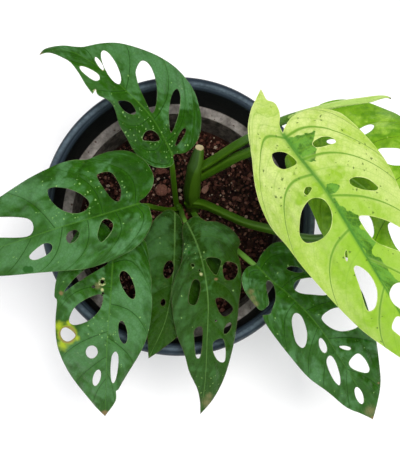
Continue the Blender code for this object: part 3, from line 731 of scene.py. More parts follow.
HALO = MarkFinish("halo", seen(168, 186, 16), 0.1, 1.0, 0.85)
SCORCH = MarkFinish("scorch", seen(128, 102, 66), 0.3, 0.75, 0.8)
BLEACH = MarkFinish("bleach", seen(196, 196, 140), 0.3, 0.8, 0.75)
WITHER = MarkFinish("wither", seen(118, 114, 72), 0.05, 1.0, 0.8)
SHADOW_SPOT = MarkFinish("dark_spot", seen(22, 78, 3), 0.15, 0.4, 0.95)
MARKS = (HALO, WITHER, SCORCH, BLEACH, SHADOW_SPOT)

GREEN_FINISH = LeafFinish(LeafKind.GREEN)
SHADED_FINISH = LeafFinish(
    LeafKind.SHADED,
    deep=seen(14, 36, 2),
    light=seen(36, 72, 9),
    bloom=seen(60, 100, 54),
    rich=seen(24, 46, 0),
    vein=seen(76, 122, 48),
    vein_share=0.28,
    minor_share=0.1,
    beside_share=0.1,
    net_share=0.08,
    midrib=seen(100, 140, 70),
    midrib_share=0.55,
    core_tone_and_shade=seen(46, 92, 8),
    speck=seen(128, 160, 90),
    margin=seen(70, 56, 40),
    margin_pale=seen(88, 102, 56),
    margin_mm=0.4,
    roughness=0.30,
    coat=0.03,
    specular=0.2,
)
LIME_FINISH = LeafFinish(
    LeafKind.LIME,
    slot="leaf_lime",
    deep=seen(152, 182, 56),
    light=seen(190, 204, 124),
    bloom=seen(191, 206, 122),
    rich=seen(134, 170, 34),
    vein=seen(112, 156, 34),
    vein_share=0.7,
    vein_mm=1.7,
    minor_share=0.32,
    thread=seen(86, 134, 26),
    thread_share=0.6,
    midrib=seen(66, 122, 34),
    midrib_share=0.9,
    midrib_mm=1.6,
    band_share=0.6,
    core_tone_and_shade=seen(126, 172, 22),
    core_tone_and_shade_share=0.85,
    speck=seen(66, 90, 22),
    speck_share=0.5,
    speck_scale=300.0,
    speck_size=0.25,
    margin=seen(186, 200, 110),
    margin_pale=seen(214, 222, 150),
    margin_mm=0.5,
    under=seen(188, 204, 120),
    roughness=0.42,
    coat=0.1,
)
BRIGHT_FINISH = LeafFinish(
    LeafKind.BRIGHT,
    slot="leaf_bright",
    deep=seen(80, 136, 2),
    light=seen(130, 174, 14),
    bloom=seen(154, 192, 62),
    rich=seen(78, 128, 0),
    vein=seen(62, 112, 8),
    vein_share=0.55,
    minor_share=0.3,
    midrib=seen(140, 182, 80),
    midrib_share=0.8,
    core_tone_and_shade=seen(98, 150, 12),
    core_tone_and_shade_share=0.4,
    speck=seen(160, 188, 90),
    speck_share=0.12,
    margin=seen(120, 150, 64),
    margin_pale=seen(150, 176, 90),
    under=seen(140, 172, 88),
    roughness=0.38,
    coat=0.15,
)


@dataclass(frozen=True)
class Spot:
    """A mark on a leaf: its place and radius on the sheet; a ring's radius is half its band's width."""

    mark: MarkFinish
    x: float
    y: float
    radius: float
    ring: float = 0.0


@dataclass
class LeafBlade:
    """One leaf: its drawing, its slopes, its side veins and its finish.

    The outline runs from the tip round to the tip, the spine from the stalk to the tip. A slit is a narrow
    window: its two ends, its width and how far along it is widest. Side veins leave the spine at the shares
    given, forward of them by lean at the margin and bent by sweep on the way.
    """

    part: str
    finish: LeafFinish
    spine: list[SheetKnot]
    outline: list[SheetPoint]
    windows: list[list[SheetPoint]]
    veins_left: tuple[float, ...]
    veins_right: tuple[float, ...]
    slits: list[tuple] = field(default_factory=list)
    bites: list[SheetDisc] = field(default_factory=list)
    spots: list[Spot] = field(default_factory=list)
    patches: list[list[SheetPoint]] = field(default_factory=list)
    # clouds of painted sheen, each by its x, y and radius
    bloom: list[SheetDisc] = field(default_factory=list)
    # clouds of painted shade, each by its x, y and radius
    rich: list[SheetDisc] = field(default_factory=list)
    flecks: list[SheetDisc] = field(default_factory=list)
    fall_left: tuple[float, float] = (-0.20, -0.25)
    fall_right: tuple[float, float] = (-0.20, -0.25)
    wave: tuple[float, float, float] = (0.0, 2.0, 0.0)
    lean: float = 0.2
    sweep_left: tuple[float, float] = (-0.12, 0.55)
    sweep_right: tuple[float, float] = (-0.12, 0.55)
    pucker_mm: float = 1.5
    bump_mm: float = 0.8
    grid: float = 1.5
    vein_reach_mm: float = 2.4
    midrib_reach_mm: float = 4.5
    groove_mm: float = 0.45
    groove_reach_mm: float = 1.3
    rib_mm: float = 1.1
    rib_reach_mm: float = 1.5
    vein_rib_mm: float = 0.28
    vein_rib_reach_mm: float = 0.8
    thickness_mm: float = 0.8
    thin_edge_mm: float = 1.6
    fold_softness_mm: float = 3.0
    seat_share: float = 0.035

    def __post_init__(self) -> None:
        """Works out the names, the spine's line and the outline's reach on either side."""
        self.name, self.node = f"blade_{self.part}", f"leaf_{self.part}"
        knots = np.array(self.spine, float)
        self.start = knots[0, :2]
        chord = knots[-1, :2] - self.start
        self.length = float(np.linalg.norm(chord))
        self.length_mm = self.length * SHEET.unit_mm
        self.ahead = chord / self.length
        self.right = np.array([-self.ahead[1], self.ahead[0]])
        self.knots = (knots[:, :2] - self.start) @ self.ahead / self.length
        self.bend = (knots[:, :2] - self.start) @ self.right
        self.rise = knots[:, 2]
        self.loops = self.trace_loops()
        self.reach = {side: self.trace_reach(side) for side in (-1, 1)}

    def trace_loops(self) -> list[Rows]:
        """Gives the outline and every hole as evenly spaced closed loops, the outline first."""
        step = self.grid * 0.8
        outline = smooth_points(self.outline, 6, closed=False)[:-1]
        loops = [spaced(outline, step, closed=True)]
        holes = [smooth_points(window, 6, closed=True) for window in self.windows]
        holes += [smooth_points(self.slit_points(*slit), 4, closed=True) for slit in self.slits]
        loops += [spaced(hole, step, closed=True) for hole in holes]
        for x, y, radius in self.bites:
            turns = np.arange(10) / 10 * 2 * math.pi
            uneven = radius * (1 + 0.18 * np.sin(3 * turns + x))
            loops.append(np.stack([x + uneven * np.cos(turns), y + uneven * np.sin(turns)], axis=1))
        return loops

    def slit_points(self, x0: float, y0: float, x1: float, y1: float, width: float, belly: float) -> list:
        """Draws a rounded slit.

        Args:
            x0: one end's x.
            y0: one end's y.
            x1: the other end's x.
            y1: the other end's y.
            width: the slit's width.
            belly: how far along it is widest, 0 to 1.

        Returns:
            The slit's points in order round it.
        """
        start, end = np.array((x0, y0)), np.array((x1, y1))
        along = end - start
        across = np.array((-along[1], along[0])) / np.linalg.norm(along)
        power = math.log(0.5) / math.log(belly)
        sides = ([], [])
        for k in range(1, 4):
            u = 0.5 - 0.5 * math.cos(math.pi * k / 4)
            bulge = width * math.sqrt(u**power * (1 - u**power))
            sides[0].append(tuple(start + along * u + across * bulge))
            sides[1].append(tuple(start + along * u - across * bulge))
        return [(x0, y0)] + sides[0] + [(x1, y1)] + sides[1][::-1]

    def trace_reach(self, side: int) -> tuple[Rows, Rows]:
        """Measures how far the blade reaches from the spine on one side.

        Args:
            side: -1 for the left, 1 for the right.

        Returns:
            Shares along the spine, and the reach in millimetres at each.
        """
        s, t = self.shares(self.loops[0][:, 0], self.loops[0][:, 1])
        marks = np.linspace(-0.3, 1.0, 40)
        reach = np.zeros(len(marks))
        own = t * side > 0
        for k, mark in enumerate(marks):
            close = own & (np.abs(s - mark) < 0.05)
            reach[k] = np.abs(t[close]).max() if close.any() else 4.0
        soft = np.convolve(np.pad(reach, 2, mode="edge"), np.ones(5) / 5, mode="valid")
        return marks, np.maximum(soft, 3.0)

    def shares(self, x: Rows, y: Rows) -> tuple[Rows, Rows]:
        """Tells how far along the spine sheet points are, and how many millimetres to its right."""
        dx, dy = x - self.start[0], y - self.start[1]
        s = (dx * self.ahead[0] + dy * self.ahead[1]) / self.length
        bend = smooth_line(s, self.knots, self.bend)
        return s, (dx * self.right[0] + dy * self.right[1] - bend) * SHEET.unit_mm

    def vein_field(self, s: Rows, t: Rows) -> tuple[Rows, Rows, Rows]:
        """Counts the side veins along a side, so that each lies on a whole number.

        Args:
            s: shares along the spine.
            t: millimetres to the right of it.

        Returns:
            The count, the distance between veins in millimetres and the share of the way to the margin.
        """
        phase, gap, out = np.zeros_like(s), np.zeros_like(s), np.zeros_like(s)
        sides = ((-1, self.veins_left, self.sweep_left), (1, self.veins_right, self.sweep_right))
        for side, veins, sweep in sides:
            own = t * side >= 0
            marks, reach = self.reach[side]
            u = np.clip(np.abs(t[own]) / np.interp(s[own], marks, reach), 0.0, 1.15)
            arch = u * (1 - u * u)
            root = (s[own] - self.lean * u**3 - sweep[0] * arch) / (1 + sweep[1] * arch)
            line = np.array(veins)
            before = line[0] - np.array((0.36, 0.24, 0.12))
            after = line[-1] + np.array((0.1, 0.2, 0.3))
            line = np.concatenate([before, line, after])
            phase[own] = np.interp(root, line, np.arange(len(line)) - 3.0)
            steps = np.diff(line) * self.length_mm
            gap[own] = np.interp(root, (line[1:] + line[:-1]) / 2, steps)
            out[own] = u
        return phase, gap, out

    def height(self, x: Rows, y: Rows) -> Rows:
        """Gives the height of the blade's middle surface, without its relief.

        Args:
            x: sheet x.
            y: sheet y.

        Returns:
            Heights in millimetres.
        """
        s, t = self.shares(x, y)
        share = held(s)
        falls = [fall[0] + (fall[1] - fall[0]) * share for fall in (self.fall_left, self.fall_right)]
        out = np.sqrt(t * t + self.fold_softness_mm**2) - self.fold_softness_mm
        size, waves, phase = self.wave
        later = np.where(t > 0, 0.9, 0.0)
        wave = size * (out / 25.0) ** 2 * np.sin(2 * math.pi * waves * s + phase + later)
        return smooth_line(s, self.knots, self.rise) + np.where(t > 0, falls[1], falls[0]) * out + wave

    def relief(self, x: Rows, y: Rows) -> Rows:
        """Gives the relief of the blade: sunk veins, with the blade puckered up between them.

        Args:
            x: sheet x.
            y: sheet y.

        Returns:
            Heights in millimetres to add.
        """
        s, t = self.shares(x, y)
        phase, gap, out = self.vein_field(s, t)
        distance = from_whole(phase) * gap
        between = 1 - hump(distance, self.vein_reach_mm) * held((s + 0.13) * 16)
        beside = 1 - hump(t, self.midrib_reach_mm)
        calm = held((1.0 - out) * 3.5)
        far = np.abs(t)
        quilt = np.sin(far * 0.85 + phase * 2.1) * 0.24 + np.sin(far * 0.43 - phase * 3.3) * 0.2
        swell = 0.45 * np.sin(x * 0.13 + self.length) * np.sin(y * 0.11 + self.length * 0.7)
        groove = -self.groove_mm * hump(t, self.groove_reach_mm) * held(s * 20)
        uneven = swell + self.bump_mm * self.bumps(x, y)
        return self.pucker_mm * between * beside * calm * (0.75 + quilt) + uneven * calm * beside + groove

    def bumps(self, x: Rows, y: Rows) -> Rows:
        """Gives small uneven bumps that differ from leaf to leaf, about -0.5 to 0.5."""
        draw = np.random.default_rng(sum(map(ord, self.name)))
        made = np.zeros_like(x)
        for _ in range(7):
            wave_x, wave_y = draw.normal(0.0, 0.42, 2)
            made = made + np.sin(x * wave_x + y * wave_y + draw.uniform(0.0, 2 * math.pi)) / 7
        return made

    def surface(self, x: Rows, y: Rows) -> Rows:
        """Places sheet points on the blade's middle surface in space."""
        return SHEET.to_space(x, y, self.height(x, y) + self.relief(x, y))

    def normals(self, x: Rows, y: Rows, step: float = 0.5) -> Rows:
        """Gives the upward unit normals of the blade.

        Args:
            x: sheet x.
            y: sheet y.
            step: how far to look to either side, in sheet units.

        Returns:
            One row for each point.
        """
        across = self.surface(x + step, y) - self.surface(x - step, y)
        down = self.surface(x, y + step) - self.surface(x, y - step)
        made = np.cross(across, down)
        made /= np.linalg.norm(made, axis=1, keepdims=True)
        return made * np.sign(made[:, 2:3])

    def spine_place(self, s: float) -> Rows:
        """Gives the sheet point on the spine, s of the way along it."""
        bend = smooth_line(np.array([s]), self.knots, self.bend)[0]
        return self.start + self.ahead * s * self.length + self.right * bend

    def seat(self, radius: float) -> Rows:
        """Gives where a stalk of that radius ends, just inside the rib below the blade."""
        x, y = (np.array([value]) for value in self.spine_place(self.seat_share))
        drop = self.thickness_mm * MM / 2 + radius * 0.7
        return (self.surface(x, y) - self.normals(x, y) * drop)[0]

    def covers(self, x: Rows, y: Rows) -> Rows:
        """Tells which sheet points lie on the blade, inside its outline and in none of its holes."""
        made = within(x, y, self.loops[0])
        for hole in self.loops[1:]:
            made &= ~within(x, y, hole)
        return made

    def inner_points(self) -> Rows:
        """Gives the sheet points inside the blade: rows along the spine, and a grid clear of every edge."""
        low, high = self.loops[0].min(axis=0), self.loops[0].max(axis=0)
        rows = np.arange(low[1], high[1], self.grid * 0.87)
        columns = np.arange(low[0], high[0], self.grid)
        x, y = np.meshgrid(columns, rows)
        x = x + (np.arange(len(rows)) % 2)[:, None] * self.grid / 2
        x, y = x.ravel(), y.ravel()
        _, t = self.shares(x, y)
        keep = np.abs(t) > 3.2 * SHEET.unit_mm
        x, y = x[keep], y[keep]
        shares = np.arange(0.012, 0.99, 1.7 / self.length)
        bends = smooth_line(shares, self.knots, self.bend)
        line = self.start + shares[:, None] * self.length * self.ahead + bends[:, None] * self.right
        for offset in (-2.3, -1.1, 0.0, 1.1, 2.3):
            row = line + self.right * offset
            x, y = np.concatenate([x, row[:, 0]]), np.concatenate([y, row[:, 1]])
        keep = self.covers(x, y)
        x, y = x[keep], y[keep]
        clear = nearest(x, y, np.vstack(self.loops)) > self.grid * 0.62
        return np.stack([x[clear], y[clear]], axis=1)

    def triangles(self) -> tuple[Rows, Rows]:
        """Splits the blade's drawing into triangles.

        Returns:
            The sheet points and the triangles' three point numbers each.
        """
        edges, first = [], 0
        for loop in self.loops:
            count = len(loop)
            edges += [(first + k, first + (k + 1) % count) for k in range(count)]
            first += count
        flat = np.vstack([*self.loops, self.inner_points()])
        places, _, faces, *_ = delaunay_2d_cdt([Vector(p) for p in flat], edges, [], 0, 1e-4)
        places = np.array([tuple(p) for p in places])
        faces = np.array([tuple(f) for f in faces])
        middles = places[faces].mean(axis=1)
        return places, faces[self.covers(middles[:, 0], middles[:, 1])]

    def build(self, material: Material) -> Thing:
        """Builds the blade as a thin closed solid.

        Args:
            material: its finish.

        Returns:
            The blade's object.
        """
        places, faces = self.triangles()
        used = np.unique(faces)
        places, faces = places[used], np.searchsorted(used, faces)
        x, y = places[:, 0], places[:, 1]
        s, t = self.shares(x, y)
        phase, gap, _ = self.vein_field(s, t)
        edge = nearest(x, y, np.vstack(self.loops)) * SHEET.unit_mm
        half = self.thickness_mm / 2 * (0.45 + 0.55 * held(edge / self.thin_edge_mm))
        share = held(s)
        rib = self.rib_mm * (1 - 0.8 * share) * hump(t, self.rib_reach_mm) * held(s * 30 + 0.4)
        distance = from_whole(phase) * gap
        vein_rib = self.vein_rib_mm * (1 - 0.5 * share) * hump(distance, self.vein_rib_reach_mm)
        rib += vein_rib * held(edge / 4)
        points, normals = self.surface(x, y), self.normals(x, y)
        top = points + normals * (half * MM)[:, None]
        bottom = points - normals * ((half + rib) * MM)[:, None]
        count = len(places)
        rows = [*faces.tolist(), *(faces[:, ::-1] + count).tolist(), *self.wall_faces(faces, count)]
        values = {
            "along": s,
            "across": t,
            "vein": phase,
            "vein_gap": gap,
            "edge": edge,
            # the relief's height, which the material turns into painted sheen on ridges and painted shade
            # in hollows
            "raised": self.relief(x, y) / self.pucker_mm,
            "patch": self.patch_distance(x, y),
            # strength of the painted sheen clouds at each point
            "bloom": self.cloud_strength(self.bloom, x, y),
            # strength of the painted shade clouds at each point
            "rich": self.cloud_strength(self.rich, x, y),
            "flecks": self.cloud_strength(self.flecks, x, y),
        }
        values |= {mark.name: self.mark_strength(mark, x, y) for mark in MARKS}
        twice = {label: np.tile(numbers, 2) for label, numbers in values.items()}
        under = np.repeat([0.0, 1.0], count)
        mesh = make_mesh(self.name, np.vstack([top, bottom]), rows, under=under, **twice)
        return finish_mesh(mesh, material, smooth_angle=50.0)

    def wall_faces(self, faces: Rows, count: int) -> list[tuple[int, int, int, int]]:
        """Joins the top to the bottom along every edge.

        Args:
            faces: the top's triangles.
            count: how many points the top has.

        Returns:
            The walls' faces.
        """
        sides = set()
        for a, b, c in faces.tolist():
            sides.update(((a, b), (b, c), (c, a)))
        return [(b, a, a + count, b + count) for a, b in sides if (b, a) not in sides]

    def patch_distance(self, x: Rows, y: Rows) -> Rows:
        """Measures how far inside a darker patch each point is.

        Args:
            x: sheet x.
            y: sheet y.

        Returns:
            Millimetres, below zero outside.
        """
        made = np.full(len(x), -50.0)
        for patch in self.patches:
            loop = spaced(np.array(patch, float), 0.7, closed=True)
            far = nearest(x, y, loop) * SHEET.unit_mm
            made = np.maximum(made, np.where(within(x, y, loop), far, -far))
        return made

    def mark_strength(self, mark: MarkFinish, x: Rows, y: Rows) -> Rows:
        """Gives the strength of one kind of mark at each point, 1 in a spot's middle and 0 at its edge."""
        made = np.zeros(len(x))
        for spot in self.spots:
            if spot.mark is mark:
                far = np.hypot(x - spot.x, y - spot.y)
                made = np.maximum(made, 1 - np.abs(far - spot.ring) / spot.radius)
        return made

    def cloud_strength(self, clouds: list[SheetDisc], x: Rows, y: Rows) -> Rows:
        """Gives how strong soft ragged clouds are at each point; each is given by its x, y and radius."""
        clear = np.ones(len(x))
        moved_x, moved_y = x + 11 * self.bumps(x, y), y + 11 * self.bumps(y, x)
        for cloud_x, cloud_y, radius in clouds:
            clear *= 1 - np.exp(-((moved_x - cloud_x) ** 2 + (moved_y - cloud_y) ** 2) / radius**2)
        return 1 - clear


def make_mesh(name: str, points: object, faces: list, **values: Rows) -> Mesh:
    """Makes a mesh with numbers kept on its points.

    Args:
        name: its name.
        points: its points in metres.
        faces: each face's point numbers.
        values: one number for each point, under each name.

    Returns:
        The mesh.
    """
    mesh = bpy.data.meshes.new(name)
    mesh.from_pydata(np.asarray(points).tolist(), [], faces)
    for label, rows in values.items():
        kept = mesh.attributes.new(label, "FLOAT", "POINT")
        kept.data.foreach_set("value", np.asarray(rows, np.float32))
    return mesh


def place_object(name: str, data: bpy.types.ID) -> Thing:
    """Makes an object of a mesh, a camera or a light, and links it to the scene."""
    thing = bpy.data.objects.new(name, data)
    bpy.context.scene.collection.objects.link(thing)
    return thing


def finish_mesh(
    mesh: Mesh, material: Material, smooth_angle: float
) -> Thing:
    """Turns a mesh into an object of its name, with its faces pointing out.

    Args:
        mesh: the mesh.
        material: its finish.
        smooth_angle: edges sharper than this many degrees stay sharp.

    Returns:
        The object, linked to the scene.
    """
    work = bmesh.new()
    work.from_mesh(mesh)
    bmesh.ops.recalc_face_normals(work, faces=work.faces)
    work.to_mesh(mesh)
    work.free()
    mesh.shade_smooth()
    mesh.set_sharp_from_angle(angle=math.radians(smooth_angle))
    mesh.materials.append(material)
    return place_object(mesh.name, mesh)


def settle(thing: Thing, slot: str, *nodes: str) -> None:
    """Makes a piece ride on the plant's body and stand for its solids.

    Args:
        thing: the piece.
        slot: the record's material slot; not used.
        nodes: the solids that it stands for.
    """
    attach(thing, BODY)
    if nodes:
        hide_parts(*nodes)
    LOG.info("%s: %d faces", thing.name, len(thing.data.polygons))


LEAVES = [
    LeafBlade(
        part="upper_left",
        finish=GREEN_FINISH,
        spine=[(173, 156, 199), (152, 118, 203), (122, 87, 203), (91, 62, 198), (62, 49.5, 190),
               (39.5, 54.5, 182)],
        outline=[
            (39.5, 54.5), (46, 48.5), (63, 45.5), (81, 47), (100, 43.5), (118, 43), (138, 48), (157, 55.5),
            (173, 65.5), (185, 77.5), (194, 91), (199, 106), (201.5, 119), (199.5, 135), (193, 147),
            (184, 153),
            (175, 154), (173, 157), (174, 162), (171, 166), (163, 168), (152, 166), (142, 160), (134, 151),
            (129, 142), (124, 133), (119, 124), (116, 113), (112, 104), (106, 99), (98, 95), (95.5, 89),
            (95.5, 89), (92.5, 94), (92.5, 94), (86, 85), (78, 72), (70, 62), (58, 55.5), (48, 52.5),
            (39.5, 54.5),
        ],
        windows=[
            [(152, 113), (146, 102), (141, 91), (137, 80), (136, 70), (141, 61), (148, 63), (154, 74),
             (157, 90),
             (156, 105)],
            [(118, 102), (123, 100.5), (130, 102.5), (135, 109), (135.5, 114), (130, 114), (124, 110.5)],
            [(142.5, 139.5), (145, 132.5), (150, 130), (156, 132.5), (160, 139.5), (155, 141.5),
             (148, 141)],
        ],
        slits=[
            (99.5, 79.5, 79.5, 66.5, 8, 0.35), (103.5, 70, 95, 57, 4.5, 0.5),
            (119.5, 84, 102.5, 50.5, 12.5, 0.5),
            (171, 133, 177, 89, 10.5, 0.62), (175.5, 146, 185.5, 128, 5, 0.6),
        ],
        fall_left=(-0.22, -0.20),
        fall_right=(-0.34, -0.20),
        wave=(1.8, 2.5, 0.4),
        veins_left=(0.02, 0.11, 0.25, 0.46, 0.68, 0.84),
        veins_right=(-0.02, 0.083, 0.22, 0.46, 0.70, 0.85),
        spots=[Spot(BLEACH, 98, 60, 3.0), Spot(BLEACH, 100.5, 65, 3.4), Spot(BLEACH, 103, 70, 2.6),
               Spot(BLEACH, 95, 91, 3.5), Spot(SCORCH, 41, 54, 4.0)],
        bloom=[(167, 76, 22), (188, 94, 13), (133, 70, 9), (136, 91, 7), (114, 51, 10), (127, 55, 10),
               (165, 110, 7),
               (167, 125, 5), (155, 163, 7), (64, 49, 10), (108, 96, 6), (150, 62, 12), (90, 52, 9),
               (126, 76, 7), (112, 66, 6)],
        rich=[(124, 95, 10), (115, 84, 7), (132, 120, 12), (186, 120, 10), (167, 148, 11), (81, 55, 6),
              (133, 134, 8), (176, 136, 6), (147, 134, 18), (160, 152, 9)],
        flecks=[(146, 140, 22), (152, 112, 14), (130, 110, 12), (165, 140, 14)],
    ),
    LeafBlade(
        part="left",
        finish=GREEN_FINISH,
        spine=[(139, 203.5, 206), (98, 216, 211), (61, 227, 209), (0, 247, 199), (-60, 262, 183)],
        outline=[
            (-60, 262), (-48, 246), (-32, 224), (-16, 208), (0, 197), (15, 187), (31, 177), (49, 168),
            (61, 163),
            (74, 160), (87, 159.5), (100, 154.5), (112, 151), (128, 151), (141, 157.5), (149, 166),
            (153.5, 177),
            (152, 187), (146, 196), (139, 202), (148, 205.5), (151, 214), (152, 222), (146, 236),
            (136, 247),
            (122, 255.5), (107, 262), (87, 268.5), (61, 271), (36, 273), (15, 275), (-4, 276), (-24, 274),
            (-42, 268), (-60, 262),
        ],
        windows=[
            [(98, 174), (110, 172), (117, 180), (121, 190), (119, 201), (112, 199), (105, 190),
             (98.5, 180)],
            [(48.5, 189), (61, 187.5), (77, 192), (88.5, 201), (86.5, 209.5), (75.5, 213.5), (61, 209.5),
             (50, 199)],
            [(33.5, 227.5), (27, 236.5), (0, 237.5), (-18, 236), (-26, 229), (-17, 220), (0, 217),
             (27, 218.5)],
            [(66, 238), (69, 232), (76, 230), (79.5, 234), (75, 241), (69, 243)],
            [(29.5, 255.5), (43, 244), (51, 244), (52, 249.5), (46, 255.5), (34, 260)],
            [(98, 232), (102, 221), (108, 219), (113, 224), (111, 232), (102, 242), (98, 238)],
        ],
        fall_left=(-0.16, -0.22),
        fall_right=(-0.14, -0.22),
        wave=(2.0, 2.2, 1.2),
        veins_left=(0.02, 0.12, 0.26, 0.385, 0.54, 0.68, 0.83),
        veins_right=(0.02, 0.18, 0.42, 0.70, 0.85),
        spots=[Spot(SHADOW_SPOT, 26.5, 269.3, 4.5), Spot(SHADOW_SPOT, 30.5, 269.3, 4.5)],
        bloom=[(16, 191, 20), (61, 184, 11), (40, 190, 8), (53, 219, 16), (93, 228, 11), (71, 252, 18),
               (40, 262, 14), (138, 232, 11), (8, 255, 20), (105, 167.5, 5), (64, 168, 8), (120, 244, 9)],
        rich=[(127, 172, 24), (107, 203, 13), (88, 163, 7), (110, 238, 7), (55, 179, 4), (66, 177, 4),
              (44, 180, 4),
              (101, 250, 5), (126, 216, 6), (144, 178, 8), (80, 174, 7), (96, 212, 8)],
        flecks=[(122, 186, 12), (70, 205, 20)],
    ),
    LeafBlade(
        part="lower_left",
        finish=GREEN_FINISH,
        spine=[(113, 258, 190), (111, 291, 191), (109, 317, 187), (107, 345, 178), (106.5, 372, 166),
               (105, 416, 142)],
        outline=[
            (105, 416), (97, 408), (86, 395), (72, 377), (62, 359), (56.5, 341), (55.5, 320), (57, 301),
            (54.5, 296),
            (56, 281), (62, 262), (69, 246), (79, 229), (90, 219.5), (99, 220.5), (107, 226.5), (111, 233),
            (112, 242), (112, 250), (113, 256), (118, 250), (128, 240), (138, 236), (146, 243),
            (150.5, 271),
            (152, 296), (151, 317), (147, 337), (140, 353), (131, 368), (123, 381), (118.5, 389),
            (116, 391.5),
            (115.5, 401), (105, 416),
        ],
        windows=[
            [(64, 292), (74, 285), (86, 277), (98, 270), (107, 264), (106, 259), (97, 262), (87, 268),
             (77, 276),
             (68, 286)],
            [(69, 320), (75, 307), (88, 298), (102, 294.5), (101.5, 306), (96, 314.5), (87, 321.5),
             (74, 325)],
            [(60.5, 334.5), (62.5, 328.5), (68, 328), (75.5, 335), (70, 341), (64, 340.5)],
        ],
        slits=[
            (93, 345.5, 90.5, 358.5, 12, 0.5), (99, 369.5, 94.5, 386, 7.5, 0.5),
            (115.5, 351.5, 113, 383.5, 7.5, 0.4),
            (121, 320.5, 124.5, 344, 9, 0.5), (122, 271, 133.5, 299, 12, 0.45),
        ],
        bites=[(102.3, 281.8, 2.1), (93.5, 286.8, 1.8), (103.0, 293.4, 1.3)],
        fall_left=(-0.20, -0.30),
        fall_right=(-0.16, -0.30),
        wave=(1.5, 2.0, 0.0),
        veins_left=(0.03, 0.29, 0.50, 0.72, 0.86),
        veins_right=(0.0, 0.185, 0.465, 0.62, 0.76, 0.88),
        spots=[
            Spot(HALO, 59.0, 326.0, 8.5), Spot(HALO, 63.0, 344.5, 9.0), Spot(HALO, 77.0, 338.0, 5.0),
            Spot(HALO, 69.5, 323.0, 5.0), Spot(HALO, 67.5, 334.5, 5.5, 7.0),
            Spot(SCORCH, 67.5, 334.5, 2.8, 7.4),
            Spot(BLEACH, 102.3, 281.8, 1.6, 3.2), Spot(BLEACH, 102.4, 289.8, 3.4),
            Spot(WITHER, 98, 286, 6.0),
            Spot(SCORCH, 61.5, 293, 4.5), Spot(BLEACH, 119, 391, 3.4), Spot(SCORCH, 104.5, 413, 7.0),
        ],
        bloom=[(134, 290, 20), (132, 325, 20), (85, 357, 20), (103, 388, 15), (70, 305, 8), (120, 355, 14),
               (106, 300, 8), (100, 333, 14), (75, 345, 12)],
        rich=[(84, 283, 8), (70, 294, 6), (112, 268, 6), (104, 402, 6), (108, 340, 5), (96, 232, 14)],
        flecks=[(105, 330, 14)],
    ),
    LeafBlade(
        part="narrow",
        finish=SHADED_FINISH,
        spine=[(175, 213, 172), (174, 262, 175), (170, 300, 172), (164, 325, 169), (148.5, 358.5, 165)],
        outline=[
            (148.5, 358.5), (148, 349), (147, 330), (143, 305), (138, 280), (137, 258), (144, 241),
            (153, 221.5),
            (163, 212), (170, 209.5), (175.5, 212.5), (181, 219), (184, 230), (188, 240), (197, 246),
            (208, 251),
            (218, 257), (221.5, 266), (220, 276), (215, 286), (210, 295), (203, 305), (196, 314),
            (190, 322),
            (184, 330), (174.5, 339), (161, 350), (148.5, 358.5),
        ],
        windows=[],
        slits=[(170.5, 260.5, 166.5, 278.5, 10, 0.5), (163.5, 299, 162.5, 306, 5, 0.5)],
        fall_left=(-0.10, -0.14),
        fall_right=(-0.12, -0.14),
        veins_left=(0.03, 0.17, 0.31, 0.45, 0.60, 0.76, 0.90),
        veins_right=(0.03, 0.16, 0.28, 0.48, 0.64, 0.78, 0.90),
        bloom=[(157, 244, 17), (149, 268, 13), (160, 225, 9), (150, 290, 8)],
        rich=[(160, 318, 13), (171, 335, 12), (152, 340, 9), (179, 240, 6), (176, 262, 7), (162, 298, 8),
              (200, 280, 22)],
    ),
    LeafBlade(
        part="centre",
        finish=SHADED_FINISH,
        spine=[(187, 223, 181), (196, 242, 187), (203, 265, 190), (208, 300, 188), (207, 340, 181),
               (205, 382, 165),
               (200.3, 414, 147)],
        outline=[
            (200.3, 414), (200, 402), (197, 388), (189, 371), (184.5, 354), (177, 335), (173, 315),
            (171.5, 295),
            (174.5, 279), (181, 263), (183, 246), (182, 232), (183, 225), (187, 221), (196, 216),
            (206, 221),
            (218, 222), (230, 228), (238, 237), (240, 243.5), (237, 252), (240, 262), (241.5, 280),
            (239.5, 298),
            (237, 323), (232.5, 349), (224, 378), (213, 399), (200.3, 414),
        ],
        windows=[
            [(188.5, 301), (190, 289), (194, 280), (199, 281), (200, 290), (196.5, 303), (192, 305)],
            [(194.5, 330), (201.5, 327), (202.5, 340), (200, 357), (196, 356.5), (194.5, 343)],
            [(215.5, 299.5), (222, 298), (231, 305), (232.5, 311), (224.5, 316.5), (219, 311)],
            [(222.5, 267), (227, 261.5), (236, 264), (238, 271), (234, 279), (225, 279)],
            [(213.5, 342), (222.5, 338.5), (225.5, 349), (224.5, 361.5), (218.5, 361), (213.5, 352.5)],
            [(206, 259), (214, 257.5), (221, 260.5), (219.5, 268), (216, 275), (210, 269)],
        ],
        slits=[(224.5, 334, 230.5, 322.5, 6, 0.5), (191, 264.5, 194.5, 266, 3, 0.5)],
        bites=[(199.6, 270.3, 1.1), (215.9, 320.7, 1.1)],
        fall_left=(-0.34, -0.34),
        fall_right=(-0.26, -0.30),
        wave=(1.6, 2.4, 2.0),
        veins_left=(0.03, 0.09, 0.30, 0.50, 0.65, 0.80),
        veins_right=(0.03, 0.15, 0.25, 0.44, 0.66, 0.82),
        spots=[
            Spot(SCORCH, 215.8, 279, 3.5), Spot(WITHER, 206.5, 402, 8.0), Spot(WITHER, 209, 396, 6.0),
            Spot(BLEACH, 201, 274, 3.2),
            Spot(SHADOW_SPOT, 189, 252.6, 2.5),
        ],
        bloom=[(183, 300, 10), (180, 320, 9), (188, 250, 7), (209, 234, 10), (228, 240, 8), (207, 285, 5),
               (209, 330, 5), (194, 367, 5), (212, 371, 6), (187, 342, 6)],
        rich=[(230, 288, 14), (236, 308, 12), (230, 330, 7), (227, 348, 6), (222, 388, 7), (202, 312, 4),
